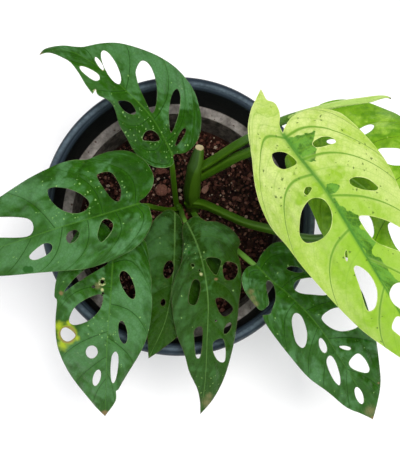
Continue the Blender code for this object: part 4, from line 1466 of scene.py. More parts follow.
              (221, 300, 8), (186, 276, 7), (232, 256, 7), (206, 352, 4)],
        flecks=[(215, 385, 12), (188, 250, 10)],
    ),
    LeafBlade(
        part="lower_right",
        finish=GREEN_FINISH,
        spine=[(257, 266, 187), (271, 280, 191), (289, 295, 193), (315, 322, 189), (340, 358, 177),
               (364, 398, 158),
               (372.8, 419.4, 148)],
        outline=[
            (372.8, 419.4), (362, 414), (346, 407), (328, 392), (308, 377), (289, 355), (275, 337),
            (266, 324),
            (262.5, 315), (262.5, 315), (270, 314), (273, 307), (275.5, 299), (275, 290), (272, 282),
            (268, 280.5),
            (266, 284), (267.5, 294), (269, 303), (266, 307.5), (260, 310), (250, 299), (243.5, 288),
            (242, 277),
            (247, 267.5), (256, 264), (262, 254), (272, 244), (284, 242), (300, 246), (318, 256),
            (336, 268),
            (352, 279), (362, 292), (369, 312), (375.5, 337), (379, 362), (380.5, 383), (377.5, 402),
            (372.8, 419.4),
        ],
        windows=[
            [(286.5, 268), (292, 266), (300, 268), (303, 272), (296, 272.5), (289, 270.5)],
            [(293.5, 288), (296, 281.5), (303, 278.5), (314, 278), (326, 282), (332, 290), (326, 295),
             (312, 294.5),
             (300, 293)],
            [(321.5, 318), (328, 311), (338, 307.5), (350, 311), (358, 318), (360, 325), (351, 330),
             (339, 331),
             (328, 326)],
            [(297, 313), (302.5, 318), (307, 332), (306, 344), (302, 348), (295.5, 341), (292, 324),
             (293, 315.5)],
            [(330, 355.5), (335.5, 361.5), (340, 376), (339.5, 385.5), (332.5, 378), (326.5, 362.5)],
            [(349, 362), (357, 353.5), (364.5, 358.5), (369.5, 369), (366, 373), (353, 369)],
        ],
        slits=[(320, 338, 325.5, 353, 7, 0.55), (339, 346.5, 351, 349, 4, 0.6),
               (356, 387, 362.5, 404, 7.5, 0.5)],
        fall_left=(-0.18, -0.26),
        fall_right=(-0.22, -0.28),
        wave=(1.6, 2.3, 0.8),
        veins_left=(0.03, 0.168, 0.335, 0.52, 0.71, 0.86),
        veins_right=(0.03, 0.14, 0.27, 0.443, 0.545, 0.70, 0.90),
        spots=[Spot(WITHER, 370, 411, 9.5), Spot(SCORCH, 373, 418, 5.0), Spot(WITHER, 251, 292, 5.0),
               Spot(WITHER, 253, 298, 5.5), Spot(WITHER, 256, 304, 5.0), Spot(SCORCH, 378.5, 383, 2.6),
               Spot(SHADOW_SPOT, 365.5, 340, 2.5)],
        bloom=[(247, 284, 7), (284, 310, 8), (311, 335, 8), (317, 377, 13), (346, 375, 8), (373, 345, 7),
               (343, 351, 6), (324, 318, 7), (292, 358, 8), (350, 402, 10), (336, 338, 8)],
        rich=[(273, 258, 15), (289, 300, 7), (366, 378, 8), (333, 348, 5), (368, 393, 8), (302, 297, 7),
              (267, 291, 5), (300, 262, 12), (354, 340, 6)],
    ),
    LeafBlade(
        part="variegated",
        finish=LIME_FINISH,
        spine=[(283, 134, 268), (299.5, 157, 273), (325, 189, 276), (347, 224.5, 273), (381, 281, 262),
               (400, 313, 253), (430, 371, 232)],
        outline=[
            (430, 371), (415, 366), (400, 357.5), (372, 338), (353, 322), (328, 296), (302, 266),
            (287, 246),
            (271, 227), (260, 204), (254.5, 182), (252, 158), (249, 140), (248, 126), (251, 110), (256, 99),
            (260.8, 89), (260.8, 89), (264, 95), (267, 100), (273, 102), (277, 106), (280, 115),
            (279.5, 125),
            (283, 133), (283, 133), (285, 127), (291, 118), (300, 112.5), (311, 109.5), (323, 109),
            (335, 111),
            (345, 116), (361, 130.5), (378, 150), (390, 168), (400, 190), (412, 215), (424, 246),
            (434, 280),
            (439, 315), (438, 345), (430, 371),
        ],
        windows=[
            [(272.5, 153.5), (285, 152.5), (297, 162), (290, 167.5), (282, 169), (274.5, 163.5)],
            [(304, 192.5), (306.5, 187), (312, 188), (307.5, 195)],
            [(299.5, 226), (302, 210.5), (311, 199), (323.5, 199.5), (331.5, 212), (330.5, 228),
             (321.5, 239),
             (307.5, 243), (300.5, 237)],
            [(313, 142.5), (321.5, 137), (330.5, 137), (336, 141.5), (330.5, 144.5), (316.5, 147.5)],
            [(349.5, 180), (356, 177), (368, 179), (378, 187), (375, 190.5), (363, 189.5), (352, 185.5)],
            [(359, 218), (365, 215.5), (377, 217.5), (390, 222), (404, 230), (420, 241), (431, 254),
             (427, 262),
             (415, 259), (400, 251.5), (388, 247), (377, 242.5), (368, 233)],
            [(354, 269), (358.5, 266), (370, 275), (377, 290.5), (376, 305), (371, 311), (366, 308),
             (359.5, 286)],
            [(389.5, 294), (393, 285.5), (401, 282.5), (413, 286), (424, 298), (428, 311), (420, 316),
             (408, 313),
             (400, 308.5), (393, 303)],
            [(392, 328), (396, 317), (403, 319), (412, 331), (414, 343), (406, 340), (399, 335)],
        ],
        slits=[(346, 250, 347, 261.5, 2.6, 0.5)],
        patches=[
            [(288, 138.4), (295.7, 136.5), (309.7, 132), (314.8, 131.4), (315.4, 136.5), (312.2, 141.6),
             (313.5, 146.7), (316.7, 149.3), (314.8, 151.8), (315.4, 157), (316.7, 162), (311, 162),
             (305.9, 160), (297, 151.5), (286, 139)],
            [(325.6, 182.4), (327.6, 183.5), (336.5, 183.7), (341, 185.6), (337.8, 190), (334, 193.3),
             (330, 193.5), (326.3, 189)],
            [(332, 197), (335, 197.5), (340.3, 205.4), (349.2, 210.5), (357.5, 215), (360.7, 220.7),
             (359.4, 227),
             (367, 232.2), (377, 241.5), (372, 249), (371.6, 254), (382, 259), (388.8, 270.8), (395, 278.5),
             (404, 284), (414, 300), (416, 322), (408, 318), (400, 310), (391, 296), (388.8, 291),
             (377.3, 275),
             (369.6, 260.6), (359.4, 243.5), (349, 227.5), (340, 213)],
        ],
        fall_left=(-0.16, -0.26),
        fall_right=(-0.50, -0.42),
        wave=(1.6, 2.0, 0.5),
        veins_left=(0.017, 0.115, 0.275, 0.54, 0.70, 0.84),
        veins_right=(0.02, 0.18, 0.415, 0.655, 0.88),
        lean=0.25,
        sweep_left=(-0.03, 0.6),
        sweep_right=(-0.18, 0.55),
        pucker_mm=0.7,
        bloom=[(270, 175, 14), (330, 122, 14), (365, 160, 18), (390, 195, 14), (263, 125, 12),
               (300, 120, 8)],
        rich=[(345, 280, 14), (372, 316, 12), (316, 190, 10), (300, 200, 8), (340, 240, 8), (335, 175, 9),
              (395, 350, 12), (300, 255, 8), (292, 148, 5), (330, 215, 8)],
        flecks=[(365, 160, 26), (335, 165, 20), (275, 125, 16), (285, 185, 16), (375, 205, 16),
                (270, 200, 10)],
    ),
    LeafBlade(
        part="back",
        finish=BRIGHT_FINISH,
        spine=[(340, 170, 228), (352, 179, 231), (365, 188.5, 232), (400, 215, 229), (432, 250, 220),
               (460, 296, 203)],
        outline=[
            (460, 296), (440, 288), (418, 276), (392, 267), (364, 263), (338, 253), (322, 234), (315, 218),
            (308, 203), (297, 187), (288, 172), (285, 160), (289, 153), (299, 150), (318, 158), (339, 170),
            (322, 154), (305, 142), (301, 132), (308, 118), (317, 107), (325, 102.5), (336, 99.8),
            (347, 99.5),
            (358, 100.5), (368, 102.5), (386, 109.5), (400, 116), (418, 132), (434, 156), (446, 186),
            (456, 222),
            (461, 260), (460, 296),
        ],
        windows=[
            [(378, 150), (390, 148), (403, 149.5), (415, 155), (412, 163), (400, 165.5), (386, 163)],
            [(358, 214), (366, 213), (372, 221), (374, 233), (370, 239), (362, 230)],
            [(388, 225), (398, 222.5), (408, 232), (412, 248), (404, 254), (394, 244)],
        ],
        slits=[(352, 137, 374, 125.5, 8, 0.6), (326.5, 141.5, 337, 141.5, 5, 0.5)],
        fall_left=(-0.20, -0.24),
        fall_right=(-0.22, -0.26),
        wave=(1.8, 2.2, 0.3),
        veins_left=(0.03, 0.25, 0.42, 0.60, 0.78),
        veins_right=(0.03, 0.20, 0.37, 0.58, 0.76),
        bloom=[(385, 128, 9), (395, 180, 10), (355, 125, 6)],
        rich=[(365, 112, 8), (330, 215, 10), (385, 138, 7), (400, 262, 10), (345, 132, 8)],
    ),
]


def ring_vector(board: NodeBoard) -> Socket:
    """Gives a vector that goes round a tube without a seam and, by its third value, along it."""
    around = board.value_of("around")
    return board.vector(board.calc("COSINE", around), board.calc("SINE", around), board.value_of("run"))


@dataclass(frozen=True)
class StalkFinish:
    """The colours of a stalk or a stem, from its foot to its far end."""

    name: str
    slot: str
    foot: Colour
    body: Colour
    tip: Colour
    streak: Colour
    # the paler wings: the sheath's own colour on the stem, partly a painted highlight along the stalks'
    # upper edges
    edge: Colour
    roughness: float
    edge_and_highlight_share: float = 0.6
    cut_share: float = 0.0
    cut_pale: Colour = seen(206, 194, 150)
    cut_brown: Colour = seen(128, 112, 66)

    def build(self, effects: Effects) -> Material:
        """Builds the material.

        Args:
            effects: the shared node groups.

        Returns:
            The material.
        """
        material, board, shader = open_material(self.name, self.roughness, coat=0.15)
        place, along = board.place(), board.value_of("along")
        streaks = effects.streaked(board, ring_vector(board), 3.5, 22.0, 1.8)
        specks = effects.specked(board, place, 620.0, 0.3, 0.12)
        cloud = effects.mottled(board, place, 120.0, 1.6)
        cut = board.blend(cloud, self.cut_pale, self.cut_brown)
        colour = board.lay(
            self.foot,
            (self.body, board.fade(along, 0.0, 0.35)),
            (self.tip, board.fade(along, 0.55, 1.0)),
            (self.streak, streaks, 0.55),
            (self.foot, cloud, 0.25),
            (self.tip, specks, 0.5),
            # paler wings beside the groove, partly a painted highlight along the upper edges
            (self.edge, board.value_of("wing"), self.edge_and_highlight_share),
            (cut, board.fade(along, 0.982, 0.990, (0.0, self.cut_share))),
        )
        board.feed(shader.inputs["Base Color"], colour)
        rough = board.fade(streaks, 0.0, 1.0, (self.roughness, self.roughness + 0.12))
        board.feed(shader.inputs["Roughness"], rough)
        add_bump(board, shader, board.plus(streaks, specks), 0.00012)
        return material


STEM_FINISH = StalkFinish(
    name="stem_green",
    slot="stem",
    foot=seen(26, 48, 2),
    body=seen(32, 64, 2),
    tip=seen(44, 80, 6),
    streak=seen(56, 84, 14),
    edge=seen(66, 102, 14),
    roughness=0.4,
    edge_and_highlight_share=0.9,
    cut_share=1.0,
)
SHOOT_FINISH = replace(STEM_FINISH, name="shoot_green", cut_share=0.0)
STALK_FINISH = StalkFinish(
    name="stalk_green",
    slot="stalk",
    foot=seen(38, 72, 2),
    body=seen(54, 96, 4),
    tip=seen(76, 124, 20),
    streak=seen(76, 116, 14),
    edge=seen(90, 130, 22),
    roughness=0.34,
)
PALE_STALK_FINISH = StalkFinish(
    name="stalk_pale",
    slot="stalk",
    foot=seen(48, 92, 8),
    body=seen(66, 116, 14),
    tip=seen(100, 146, 52),
    streak=seen(92, 136, 44),
    edge=seen(100, 146, 52),
    roughness=0.38,
)


def carried_frames(centres: Rows) -> tuple[Rows, Rows]:
    """Gives the ring directions along a line, carried back from its far end without twist.

    Args:
        centres: the line's points.

    Returns:
        At each point, the upper side's direction and the one beside it.
    """
    ahead = np.gradient(centres, axis=0)
    ahead /= np.linalg.norm(ahead, axis=1, keepdims=True)
    tops = np.zeros_like(ahead)
    top = np.array(UP) if abs(ahead[-1, 2]) < 0.95 else np.array((0.0, -1.0, 0.0))
    for k in range(len(centres) - 1, -1, -1):
        top = top - ahead[k] * (top @ ahead[k])
        top /= np.linalg.norm(top)
        tops[k] = top
    return tops, np.cross(ahead, tops)


@dataclass
class Stalk:
    """A stalk or stem through sheet points with heights, round but for a groove along its upper side."""

    name: str
    node: str
    path: list[SheetKnot]
    radii: tuple[float, ...]
    finish: StalkFinish = STALK_FINISH
    tip_blade: str = ""
    groove: float = 0.22
    sheath: float = 0.0
    swells: tuple[tuple[float, float], ...] = ()
    sides: int = 24
    per_span: int = 12

    def line(self, blades: dict[str, LeafBlade]) -> tuple[Rows, Rows]:
        """Works out the centre line.

        Args:
            blades: every blade by its solid's name.

        Returns:
            The centres and the radii in metres.
        """
        knots = [SHEET.to_space(*knot) for knot in self.path]
        if self.tip_blade:
            knots.append(blades[self.tip_blade].seat(self.radii[-1] * MM))
        centres = smooth_points(knots, self.per_span, closed=False)
        marks = np.arange(len(self.radii), dtype=float)
        at = np.arange(len(centres)) / self.per_span
        radii = smooth_line(at, marks, np.array(self.radii)) * MM
        shares = at / at[-1]
        for place, size in self.swells:
            radii = radii * (1 + size * hump(shares - place, 0.035))
        return centres, radii

    def section(self, turns: Rows, share: float) -> Rows:
        """Gives a ring's shape as a share of its radius.

        Args:
            turns: angles from the upper side.
            share: how far along the stalk the ring is.

        Returns:
            The share of the radius at each angle.
        """
        depth = self.groove * (1 - 0.65 * share)
        hollow = depth * hump(turns, 0.42)
        wings = 0.55 * depth * hump(np.abs(turns) - 0.85, 0.28)
        seam = 0.25 * math.sin(9.0 * share)
        wrapped = held((turns - seam) / 0.12) * held((2.7 - turns) / 0.12)
        return 1 - hollow + wings + self.sheath * wrapped

    def build(self, blades: dict[str, LeafBlade], material: Material) -> Thing:
        """Builds the stalk as a closed tube; every blade is given by its solid's name."""
        return ringed_tube(self.name, self.line(blades), self.section, self.sides, material)


def ringed_tube(
    name: str, line: tuple, section: Callable, sides: int, material: Material
) -> Thing:
    """Builds a closed tube with rounded ends.

    Args:
        name: the object's name.
        line: the centre line's points and the radius at each.
        section: a function of the angles and the share along, giving a ring's share of the radius.
        sides: how many points each ring has.
        material: its finish.

    Returns:
        The object.
    """
    centres, radii = line
    count = len(centres)
    tops, others = carried_frames(centres)
    turns = np.linspace(-math.pi, math.pi, sides, endpoint=False)
    shares = np.arange(count) / (count - 1)
    runs = np.concatenate([[0.0], np.cumsum(np.linalg.norm(np.diff(centres, axis=0), axis=1))])
    shapes = np.array([section(turns, share) for share in shares])
    spokes = tops[:, None] * np.cos(turns)[:, None] + others[:, None] * np.sin(turns)[:, None]
    rings = centres[:, None] + spokes * (shapes * radii[:, None])[..., None]
    steps = [(i, (i + 1) % sides) for i in range(sides)]
    low, high, last = count * sides, count * sides + 1, (count - 1) * sides
    faces = []
    for start in range(0, last, sides):
        faces += [(start + i, start + j, start + j + sides, start + i + sides) for i, j in steps]
    faces += [(low, j, i) for i, j in steps]
    faces += [(high, last + i, last + j) for i, j in steps]
    values = {
        "along": (np.repeat(shares, sides), 0.0, 1.0),
        "around": (np.tile(turns, count), 0.0, 0.0),
        "run": (np.repeat(runs, sides), 0.0, runs[-1]),
        "wing": (held((shapes - 1.02) * 14), 0.0, 0.0),
    }
    rows = {label: np.append(ring, ends) for label, (ring, *ends) in values.items()}
    points = np.vstack([rings.reshape(-1, 3), centres[:1], centres[-1:]])
    return finish_mesh(make_mesh(name, points, faces, **rows), material, smooth_angle=60.0)


STEMS = [
    Stalk(
        name="stem_main",
        node="main_stem",
        finish=STEM_FINISH,
        path=[(192, 225, 66), (192, 214, 92), (192, 204, 114), (191.5, 190, 134), (194, 170, 156),
              (196.5, 160, 164),
              (199.3, 147, 173)],
        radii=(4.9, 5.2, 5.5, 5.9, 5.3, 4.6, 2.8),
        sheath=0.10,
        groove=0.0,
        swells=((0.50, 0.05), (0.70, 0.04)),
        sides=64,
    ),
    Stalk(
        name="stem_side",
        node="side_shoot",
        finish=SHOOT_FINISH,
        path=[(179, 222, 68), (179, 212, 98), (178.5, 209, 112), (178.5, 206.5, 121), (178.5, 205.5, 124)],
        radii=(3.2, 3.4, 3.4, 2.7, 1.2),
        groove=0.05,
        swells=((0.55, 0.08),),
    ),
]


def leaf_stalk(
    part: str, path: list[SheetKnot], radii: tuple[float, ...], finish: StalkFinish = STALK_FINISH
) -> Stalk:
    """Describes the stalk of a leaf; the piece, its solid and its blade are named after the part."""
    return Stalk(f"petiole_{part}", f"stalk_{part}", path, radii, finish, tip_blade=f"leaf_{part}")


STALKS = [
    leaf_stalk(
        "upper_left",
        [(178.5, 209.5, 113), (176, 202, 122), (174.5, 190, 142), (173, 176, 166), (172, 165, 185)],
        (2.1, 2.1, 2.1, 2.0, 1.8, 1.4),
    ),
    leaf_stalk(
        "left",
        [(178.5, 208.5, 116), (168, 210, 130), (157, 208.3, 158), (147, 206, 187)],
        (1.9, 1.9, 1.9, 1.8, 1.4),
    ),
    leaf_stalk(
        "lower_left",
        [(178.5, 210, 109.5), (168, 217, 118), (152, 229, 140), (134, 244, 166), (120, 255, 181)],
        (1.8, 1.8, 1.8, 1.8, 1.7, 1.4),
    ),
    leaf_stalk(
        "narrow",
        [(179, 210, 113), (180, 218, 122), (178, 220.5, 140), (175.8, 217.5, 160)],
        (1.6, 1.6, 1.6, 1.5, 1.2),
        PALE_STALK_FINISH,
    ),
    leaf_stalk(
        "centre",
        [(178.5, 208, 119), (181.5, 211, 130), (182, 214.5, 152), (184.5, 220, 172)],
        (1.8, 1.8, 1.8, 1.7, 1.4),
        PALE_STALK_FINISH,
    ),
    leaf_stalk(
        "lower_right",
        [(191.5, 208, 108), (197, 218, 115), (209, 228.5, 132), (224, 240.5, 154), (238, 251.5, 173),
         (249, 260.5, 182)],
        (2.2, 2.2, 2.2, 2.1, 2.0, 1.9, 1.5),
        PALE_STALK_FINISH,
    ),
    leaf_stalk(
        "back",
        [(188, 203, 119), (196, 203, 125), (204, 204.5, 129), (214, 208.5, 136), (230, 216, 147),
         (248, 223.5, 159), (270, 229, 172), (300, 237, 187), (325, 237, 197), (342, 224, 206),
         (349, 203, 215), (345, 184, 222)],
        (3.9, 3.9, 3.6, 3.4, 3.2, 3.1, 3.0, 2.8, 2.6, 2.4, 2.2, 2.0, 1.5),
    ),
    leaf_stalk(
        "variegated",
        [(193, 181, 143), (203, 175.5, 149), (213, 170, 159), (222.5, 165, 172), (236, 157.5, 196),
         (252, 151, 221), (270, 140, 249)],
        (3.3, 3.4, 3.5, 3.5, 3.3, 3.1, 2.7, 1.8),
    ),
]

ROLLED_PATH = [
    (195.5, 169, 153), (203, 166, 160), (214, 159.5, 171), (222.5, 154.3, 183), (236, 145.5, 203),
    (251, 137, 220),
    (280, 122, 242), (297, 115.6, 250), (318, 109.3, 257), (341, 103.6, 262), (368, 99.6, 267),
    (378, 97.6, 268.5),
    (386, 96.9, 269), (391, 98.6, 269),
]
ROLLED_RADII = (3.0, 3.1, 3.1, 3.1, 3.0, 3.0, 2.8, 2.5, 2.2, 1.9, 1.8, 1.3, 0.7, 0.4)


@dataclass
class RolledLeaf:
    """The new leaf: a stalk, and on its far half a blade still rolled up, with a dark hooked tip."""

    node: str = "new_leaf_rolled"
    blade_from: int = 6
    turns_of_seam: float = 0.55
    step: float = 0.16

    def section(self, turns: Rows, share: float) -> Rows:
        """Gives the roll's ring: a spiral whose outer edge winds slowly round it."""
        seam = -0.9 + self.turns_of_seam * 2 * math.pi * share
        around = np.mod(turns - seam, 2 * math.pi) / (2 * math.pi)
        edge = held(around / 0.03)
        layer = 1 + self.step * (0.5 - around) * edge
        return layer * (1 - 0.10 * hump(around - 0.93, 0.035))

    def build(self, stalk_material: Material, blade_material: Material) -> list:
        """Builds the stalk and the rolled blade.

        Args:
            stalk_material: the stalk's finish.
            blade_material: the blade's finish.

        Returns:
            Both objects.
        """
        foot = Stalk(
            name="rolled_leaf_stalk",
            node=self.node,
            path=ROLLED_PATH[: self.blade_from + 2],
            radii=ROLLED_RADII[: self.blade_from + 2],
        )
        stalk = foot.build({}, stalk_material)
        blade = Stalk(
            name="rolled_leaf_blade",
            node=self.node,
            path=ROLLED_PATH[self.blade_from :],
            radii=(2.2,) + tuple(r * 1.06 for r in ROLLED_RADII[self.blade_from + 1 :]),
            per_span=26,
        )
        return [stalk, ringed_tube(blade.name, blade.line({}), self.section, 56, blade_material)]


@dataclass(frozen=True)
class RolledFinish:
    """The finish of the rolled blade: pale green, with faint veins along it and a dark tip."""

    green: Colour = seen(132, 172, 60)
    pale: Colour = seen(184, 206, 116)
    cell: Colour = seen(196, 214, 134)
    foot: Colour = seen(96, 144, 30)
    dull: Colour = seen(120, 130, 70)
    tip: Colour = seen(58, 44, 34)

    def build(self, effects: Effects) -> Material:
        """Builds the material.

        Args:
            effects: the shared node groups.

        Returns:
            The material.
        """
        material, board, shader = open_material("rolled_leaf", 0.4, coat=0.1)
        along = board.value_of("along")
        streaks = effects.streaked(board, ring_vector(board), 2.6, 14.0, 2.0)
        net = board.use(effects.net, Vector=board.place(), Scale=520.0, Width=0.15)
        colour = board.lay(
            board.blend(streaks, self.green, self.pale),
            (self.cell, net["Cell"], 0.2),
            (self.foot, board.fade(along, 0.0, 0.25, (0.6, 0.0))),
            (self.dull, board.fade(along, 0.90, 0.96)),
            (self.tip, board.fade(along, 0.955, 0.985)),
        )
        board.feed(shader.inputs["Base Color"], colour)
        add_bump(board, shader, board.plus(streaks, net["Dome"]), 0.00014)
        return material


@dataclass
class NurseryPot:
    """The moulded pot, a turned shell with a rim, an inner ledge, a raised base channel and drain holes."""

    height: float = 0.160
    rim_radius: float = 0.100
    rim_width: float = 0.0085
    lip_drop: float = 0.012
    ledge_drop: float = 0.031
    ledge_inner_radius: float = 0.080
    base_radius: float = 0.067
    wall: float = 0.0015
    base_thickness: float = 0.0020
    channel_height: float = 0.0040
    channel_radii: tuple[float, float] = (0.044, 0.060)
    squeeze: float = 0.987
    sides: int = 192
    corner: float = 0.0012
    drain_holes: int = 8
    drain_radius: float = 0.0045
    drill_depth: float = 0.008

    def profile(self) -> Rows:
        """Gives the section as radius and height, from the underside's middle out, up and back inside."""
        shoulder = self.rim_radius - self.rim_width
        ledge = self.height - self.ledge_drop
        inner, outer = self.channel_radii
        outer_ledge = self.ledge_inner_radius + self.wall
        return np.array([
            (0.0, 0.0),
            (inner - 0.001, 0.0),
            (inner + 0.001, self.channel_height),
            (outer - 0.001, self.channel_height),
            (outer + 0.001, 0.0),
            (self.base_radius - 0.0015, 0.0),
            (self.base_radius, 0.0015),
            (outer_ledge, ledge - self.wall - 0.002),
            (shoulder - 0.0045, ledge - self.wall),
            (shoulder + 0.0005, self.height - self.lip_drop + 0.001),
            (self.rim_radius - 0.0018, self.height - self.lip_drop + 0.001),
            (self.rim_radius - 0.0008, self.height - self.lip_drop),
            (self.rim_radius, self.height - 0.0020),
            (self.rim_radius - 0.0015, self.height),
            (shoulder + 0.0030, self.height),
            (shoulder + 0.0022, self.height - 0.0007),
            (shoulder + 0.0010, self.height - 0.0007),
            (shoulder - 0.0006, self.height - 0.0022),
            (shoulder - 0.0040, ledge),
            (self.ledge_inner_radius, ledge),
            (self.base_radius - self.wall, self.inner_floor()),
            (0.0, self.inner_floor()),
        ])

    def rounded(self) -> Rows:
        """Gives the section with its corners rounded and its long stretches split."""
        corners = self.profile()
        made = [corners[0]]
        for before, corner, after in zip(corners, corners[1:], corners[2:]):
            back, on = before - corner, after - corner
            reach = min(self.corner, np.linalg.norm(back) * 0.45, np.linalg.norm(on) * 0.45)
            start = corner + back / np.linalg.norm(back) * reach
            end = corner + on / np.linalg.norm(on) * reach
            for u in np.linspace(0.0, 1.0, 5):
                made.append((1 - u) ** 2 * start + 2 * u * (1 - u) * corner + u * u * end)
        made.append(corners[-1])
        split = [made[0]]
        for here, there in zip(made, made[1:]):
            pieces = max(int(np.linalg.norm(there - here) / 0.006), 1)
            split += [here + (there - here) * (k + 1) / pieces for k in range(pieces)]
        return np.array(split)

    def ring_point(self, radius: float, height: float, turn: float) -> tuple[float, float, float]:
        """Places a point of the pot, which is pressed slightly oval."""
        return (radius * self.squeeze * math.cos(turn), radius / self.squeeze * math.sin(turn), height)

    def inner_floor(self) -> float:
        """Gives the height of the pot's floor inside."""
        return self.channel_height + self.base_thickness

    def wall_radius(self, height: float) -> float:
        """Gives the inside radius of the lower wall at a height."""
        low = self.inner_floor()
        share = (height - low) / (self.height - self.ledge_drop - low)
        inner = self.base_radius - self.wall
        return inner + (self.ledge_inner_radius - inner) * share

    def build(self, material: Material) -> Thing:
        """Builds the pot.

        Args:
            material: its plastic.

        Returns:
            The pot's object.
        """
        section = self.rounded()[1:-1]
        size = len(section)
        points, faces = [], []
        for turn in np.arange(self.sides) / self.sides * 2 * math.pi:
            points += [self.ring_point(r, z, turn) for r, z in section]
        low, high = len(points), len(points) + 1
        points += [(0.0, 0.0, 0.0), (0.0, 0.0, self.inner_floor())]
        for k in range(self.sides):
            here, there = k * size, (k + 1) % self.sides * size
            faces.append((low, there, here))
            faces.append((high, here + size - 1, there + size - 1))
            faces += [(here + i, there + i, there + i + 1, here + i + 1) for i in range(size - 1)]
        pot = finish_mesh(make_mesh("pot_shell", points, faces), material, smooth_angle=35.0)
        self.drill(pot)
        return pot

    def drill(self, pot: Thing) -> None:
        """Cuts the drain holes through the raised channel."""
        middle = sum(self.channel_radii) / 2
        floor = self.channel_height + self.base_thickness / 2
        work = bmesh.new()
        for k in range(self.drain_holes):
            turn = 2 * math.pi * (k + 0.5) / self.drain_holes
            spot = Matrix.Translation(self.ring_point(middle, floor, turn))
            bmesh.ops.create_cone(
                work, cap_ends=True, segments=28, radius1=self.drain_radius, radius2=self.drain_radius,
                depth=self.drill_depth, matrix=spot,
            )
        mesh = bpy.data.meshes.new("drill")
        work.to_mesh(mesh)
        work.free()
        cutter = place_object("drill", mesh)
        step = pot.modifiers.new("drill", "BOOLEAN")
        step.operation = "DIFFERENCE"
        step.object = cutter
        bpy.context.view_layer.update()
        made = bpy.data.meshes.new_from_object(pot.evaluated_get(bpy.context.evaluated_depsgraph_get()))
        pot.modifiers.remove(step)
        pot.data = made
        bpy.data.objects.remove(cutter, do_unlink=True)


@dataclass(frozen=True)
class PotFinish:
    """The pot's plastic: dark blue grey, with painted shade on its upper inner wall, painted light and a
    dusty painted highlight band on the rim top, dust on the ledge and soil stains low inside.
    """

    dark: Colour = seen(22, 29, 36)
    light: Colour = seen(32, 41, 50)
    # painted shade: the upper inner wall laid near black, as it lies in shade
    inside: Colour = seen(4, 7, 10)
    # painted light: a lighter tone on the up-facing top of the rim
    upper: Colour = seen(44, 56, 68)
    drip: Colour = seen(84, 88, 90)
    # a painted highlight band round the middle of the rim top, broken up like dust
    rim_highlight_and_dust: Colour = seen(92, 107, 118)
    scuff: Colour = seen(104, 116, 124)
    wall_dirt: tuple[Colour, Colour] = (seen(74, 67, 62), seen(128, 118, 112))
    ledge_dust: tuple[Colour, Colour] = (seen(102, 95, 90), seen(176, 168, 164))
    grit: Colour = seen(72, 48, 38)

    def build(self, effects: Effects) -> Material:
        """Builds the material.

        Args:
            effects: the shared node groups.

        Returns:
            The material.
        """
        material, board, shader = open_material("pot_plastic", 0.42, specular=0.3)
        place = board.place()
        x, y, z = board.parts(place)
        normal = board.add("NewGeometry").outputs["Normal"]
        up = board.fade(board.parts(normal)[2], 0.35, 0.9)
        radius = board.calc("SQRT", board.plus(board.times(x, x), board.times(y, y)))
        far_x, far_y = board.calc("DIVIDE", x, radius), board.calc("DIVIDE", y, radius)
        aside = board.vector(far_x, far_y, 0.0)
        outward = board.add("VectorMath", {0: normal, 1: aside}, operation="DOT_PRODUCT").outputs["Value"]
        inner_wall = board.fade(outward, -0.45, -0.15, (1.0, 0.0))
        outer_wall = board.fade(outward, 0.15, 0.45)
        streaks = effects.streaked(board, board.vector(far_x, far_y, z), 14.0, 9.0, 2.2)
        cloud = effects.mottled(board, place, 42.0, 2.2)
        patchy = effects.mottled(board, place, 95.0, 3.0)
        fine = effects.mottled(board, place, 420.0, 2.4)
        # a narrow band round the middle of the rim top, where the painted highlight is laid
        rim_highlight_band = board.times(up, board.span(radius, (0.0935, 0.0960), (0.0965, 0.0985)))
        rim_highlight_and_dust = board.times(rim_highlight_band, board.fade(board.plus(fine, cloud), 0.4, 1.6, (0.3, 0.85)))
        low = board.times(board.fade(z, 0.1285, 0.1305, (1.0, 0.0)), inner_wall)
        ledge = board.times(board.span(z, (0.120, 0.127), (0.131, 0.134)), up)
        gritty = board.calc("MAXIMUM", ledge, board.times(low, 0.6))
        gritty = board.times(effects.specked(board, place, 420.0, 0.32, 0.2), gritty)
        colour = board.lay(
            board.blend(cloud, self.dark, self.light),
            # painted shade: the upper inner wall near black
            (self.inside, inner_wall),
            # painted light on the up-facing top of the rim
            (self.upper, up, board.fade(z, 0.150, 0.156), 0.6),
            (self.drip, outer_wall, board.fade(streaks, 0.45, 1.0, (0.0, 0.35))),
            # painted highlight band on the rim top, uneven as dust
            (self.rim_highlight_and_dust, rim_highlight_and_dust),
            (self.scuff, effects.specked(board, place, 330.0, 0.2, 0.05), 0.28),
            (board.blend(fine, *self.wall_dirt), low, board.fade(streaks, 0.15, 0.85, (0.3, 0.95))),
            (board.blend(patchy, *self.ledge_dust), ledge, board.fade(fine, 0.0, 0.8, (0.65, 1.0))),
            (self.grit, gritty),
        )
        board.feed(shader.inputs["Base Color"], colour)
        matte_parts = board.calc("MAXIMUM", rim_highlight_and_dust, board.calc("MAXIMUM", ledge, inner_wall))
        board.feed(shader.inputs["Roughness"], board.fade(matte_parts, 0.0, 1.0, (0.38, 0.8)))
        add_bump(board, shader, board.plus(board.times(fine, 0.6), gritty), 0.00018)
        return material


@dataclass(frozen=True)
class GrainKind:
    """One kind of crumb in the potting mix: its size in metres, its tones and how many there are."""

    name: str
    count: int
    radius: tuple[float, float]
    tone: tuple[float, float]
    flatness: float
    lift: float
    detail: int


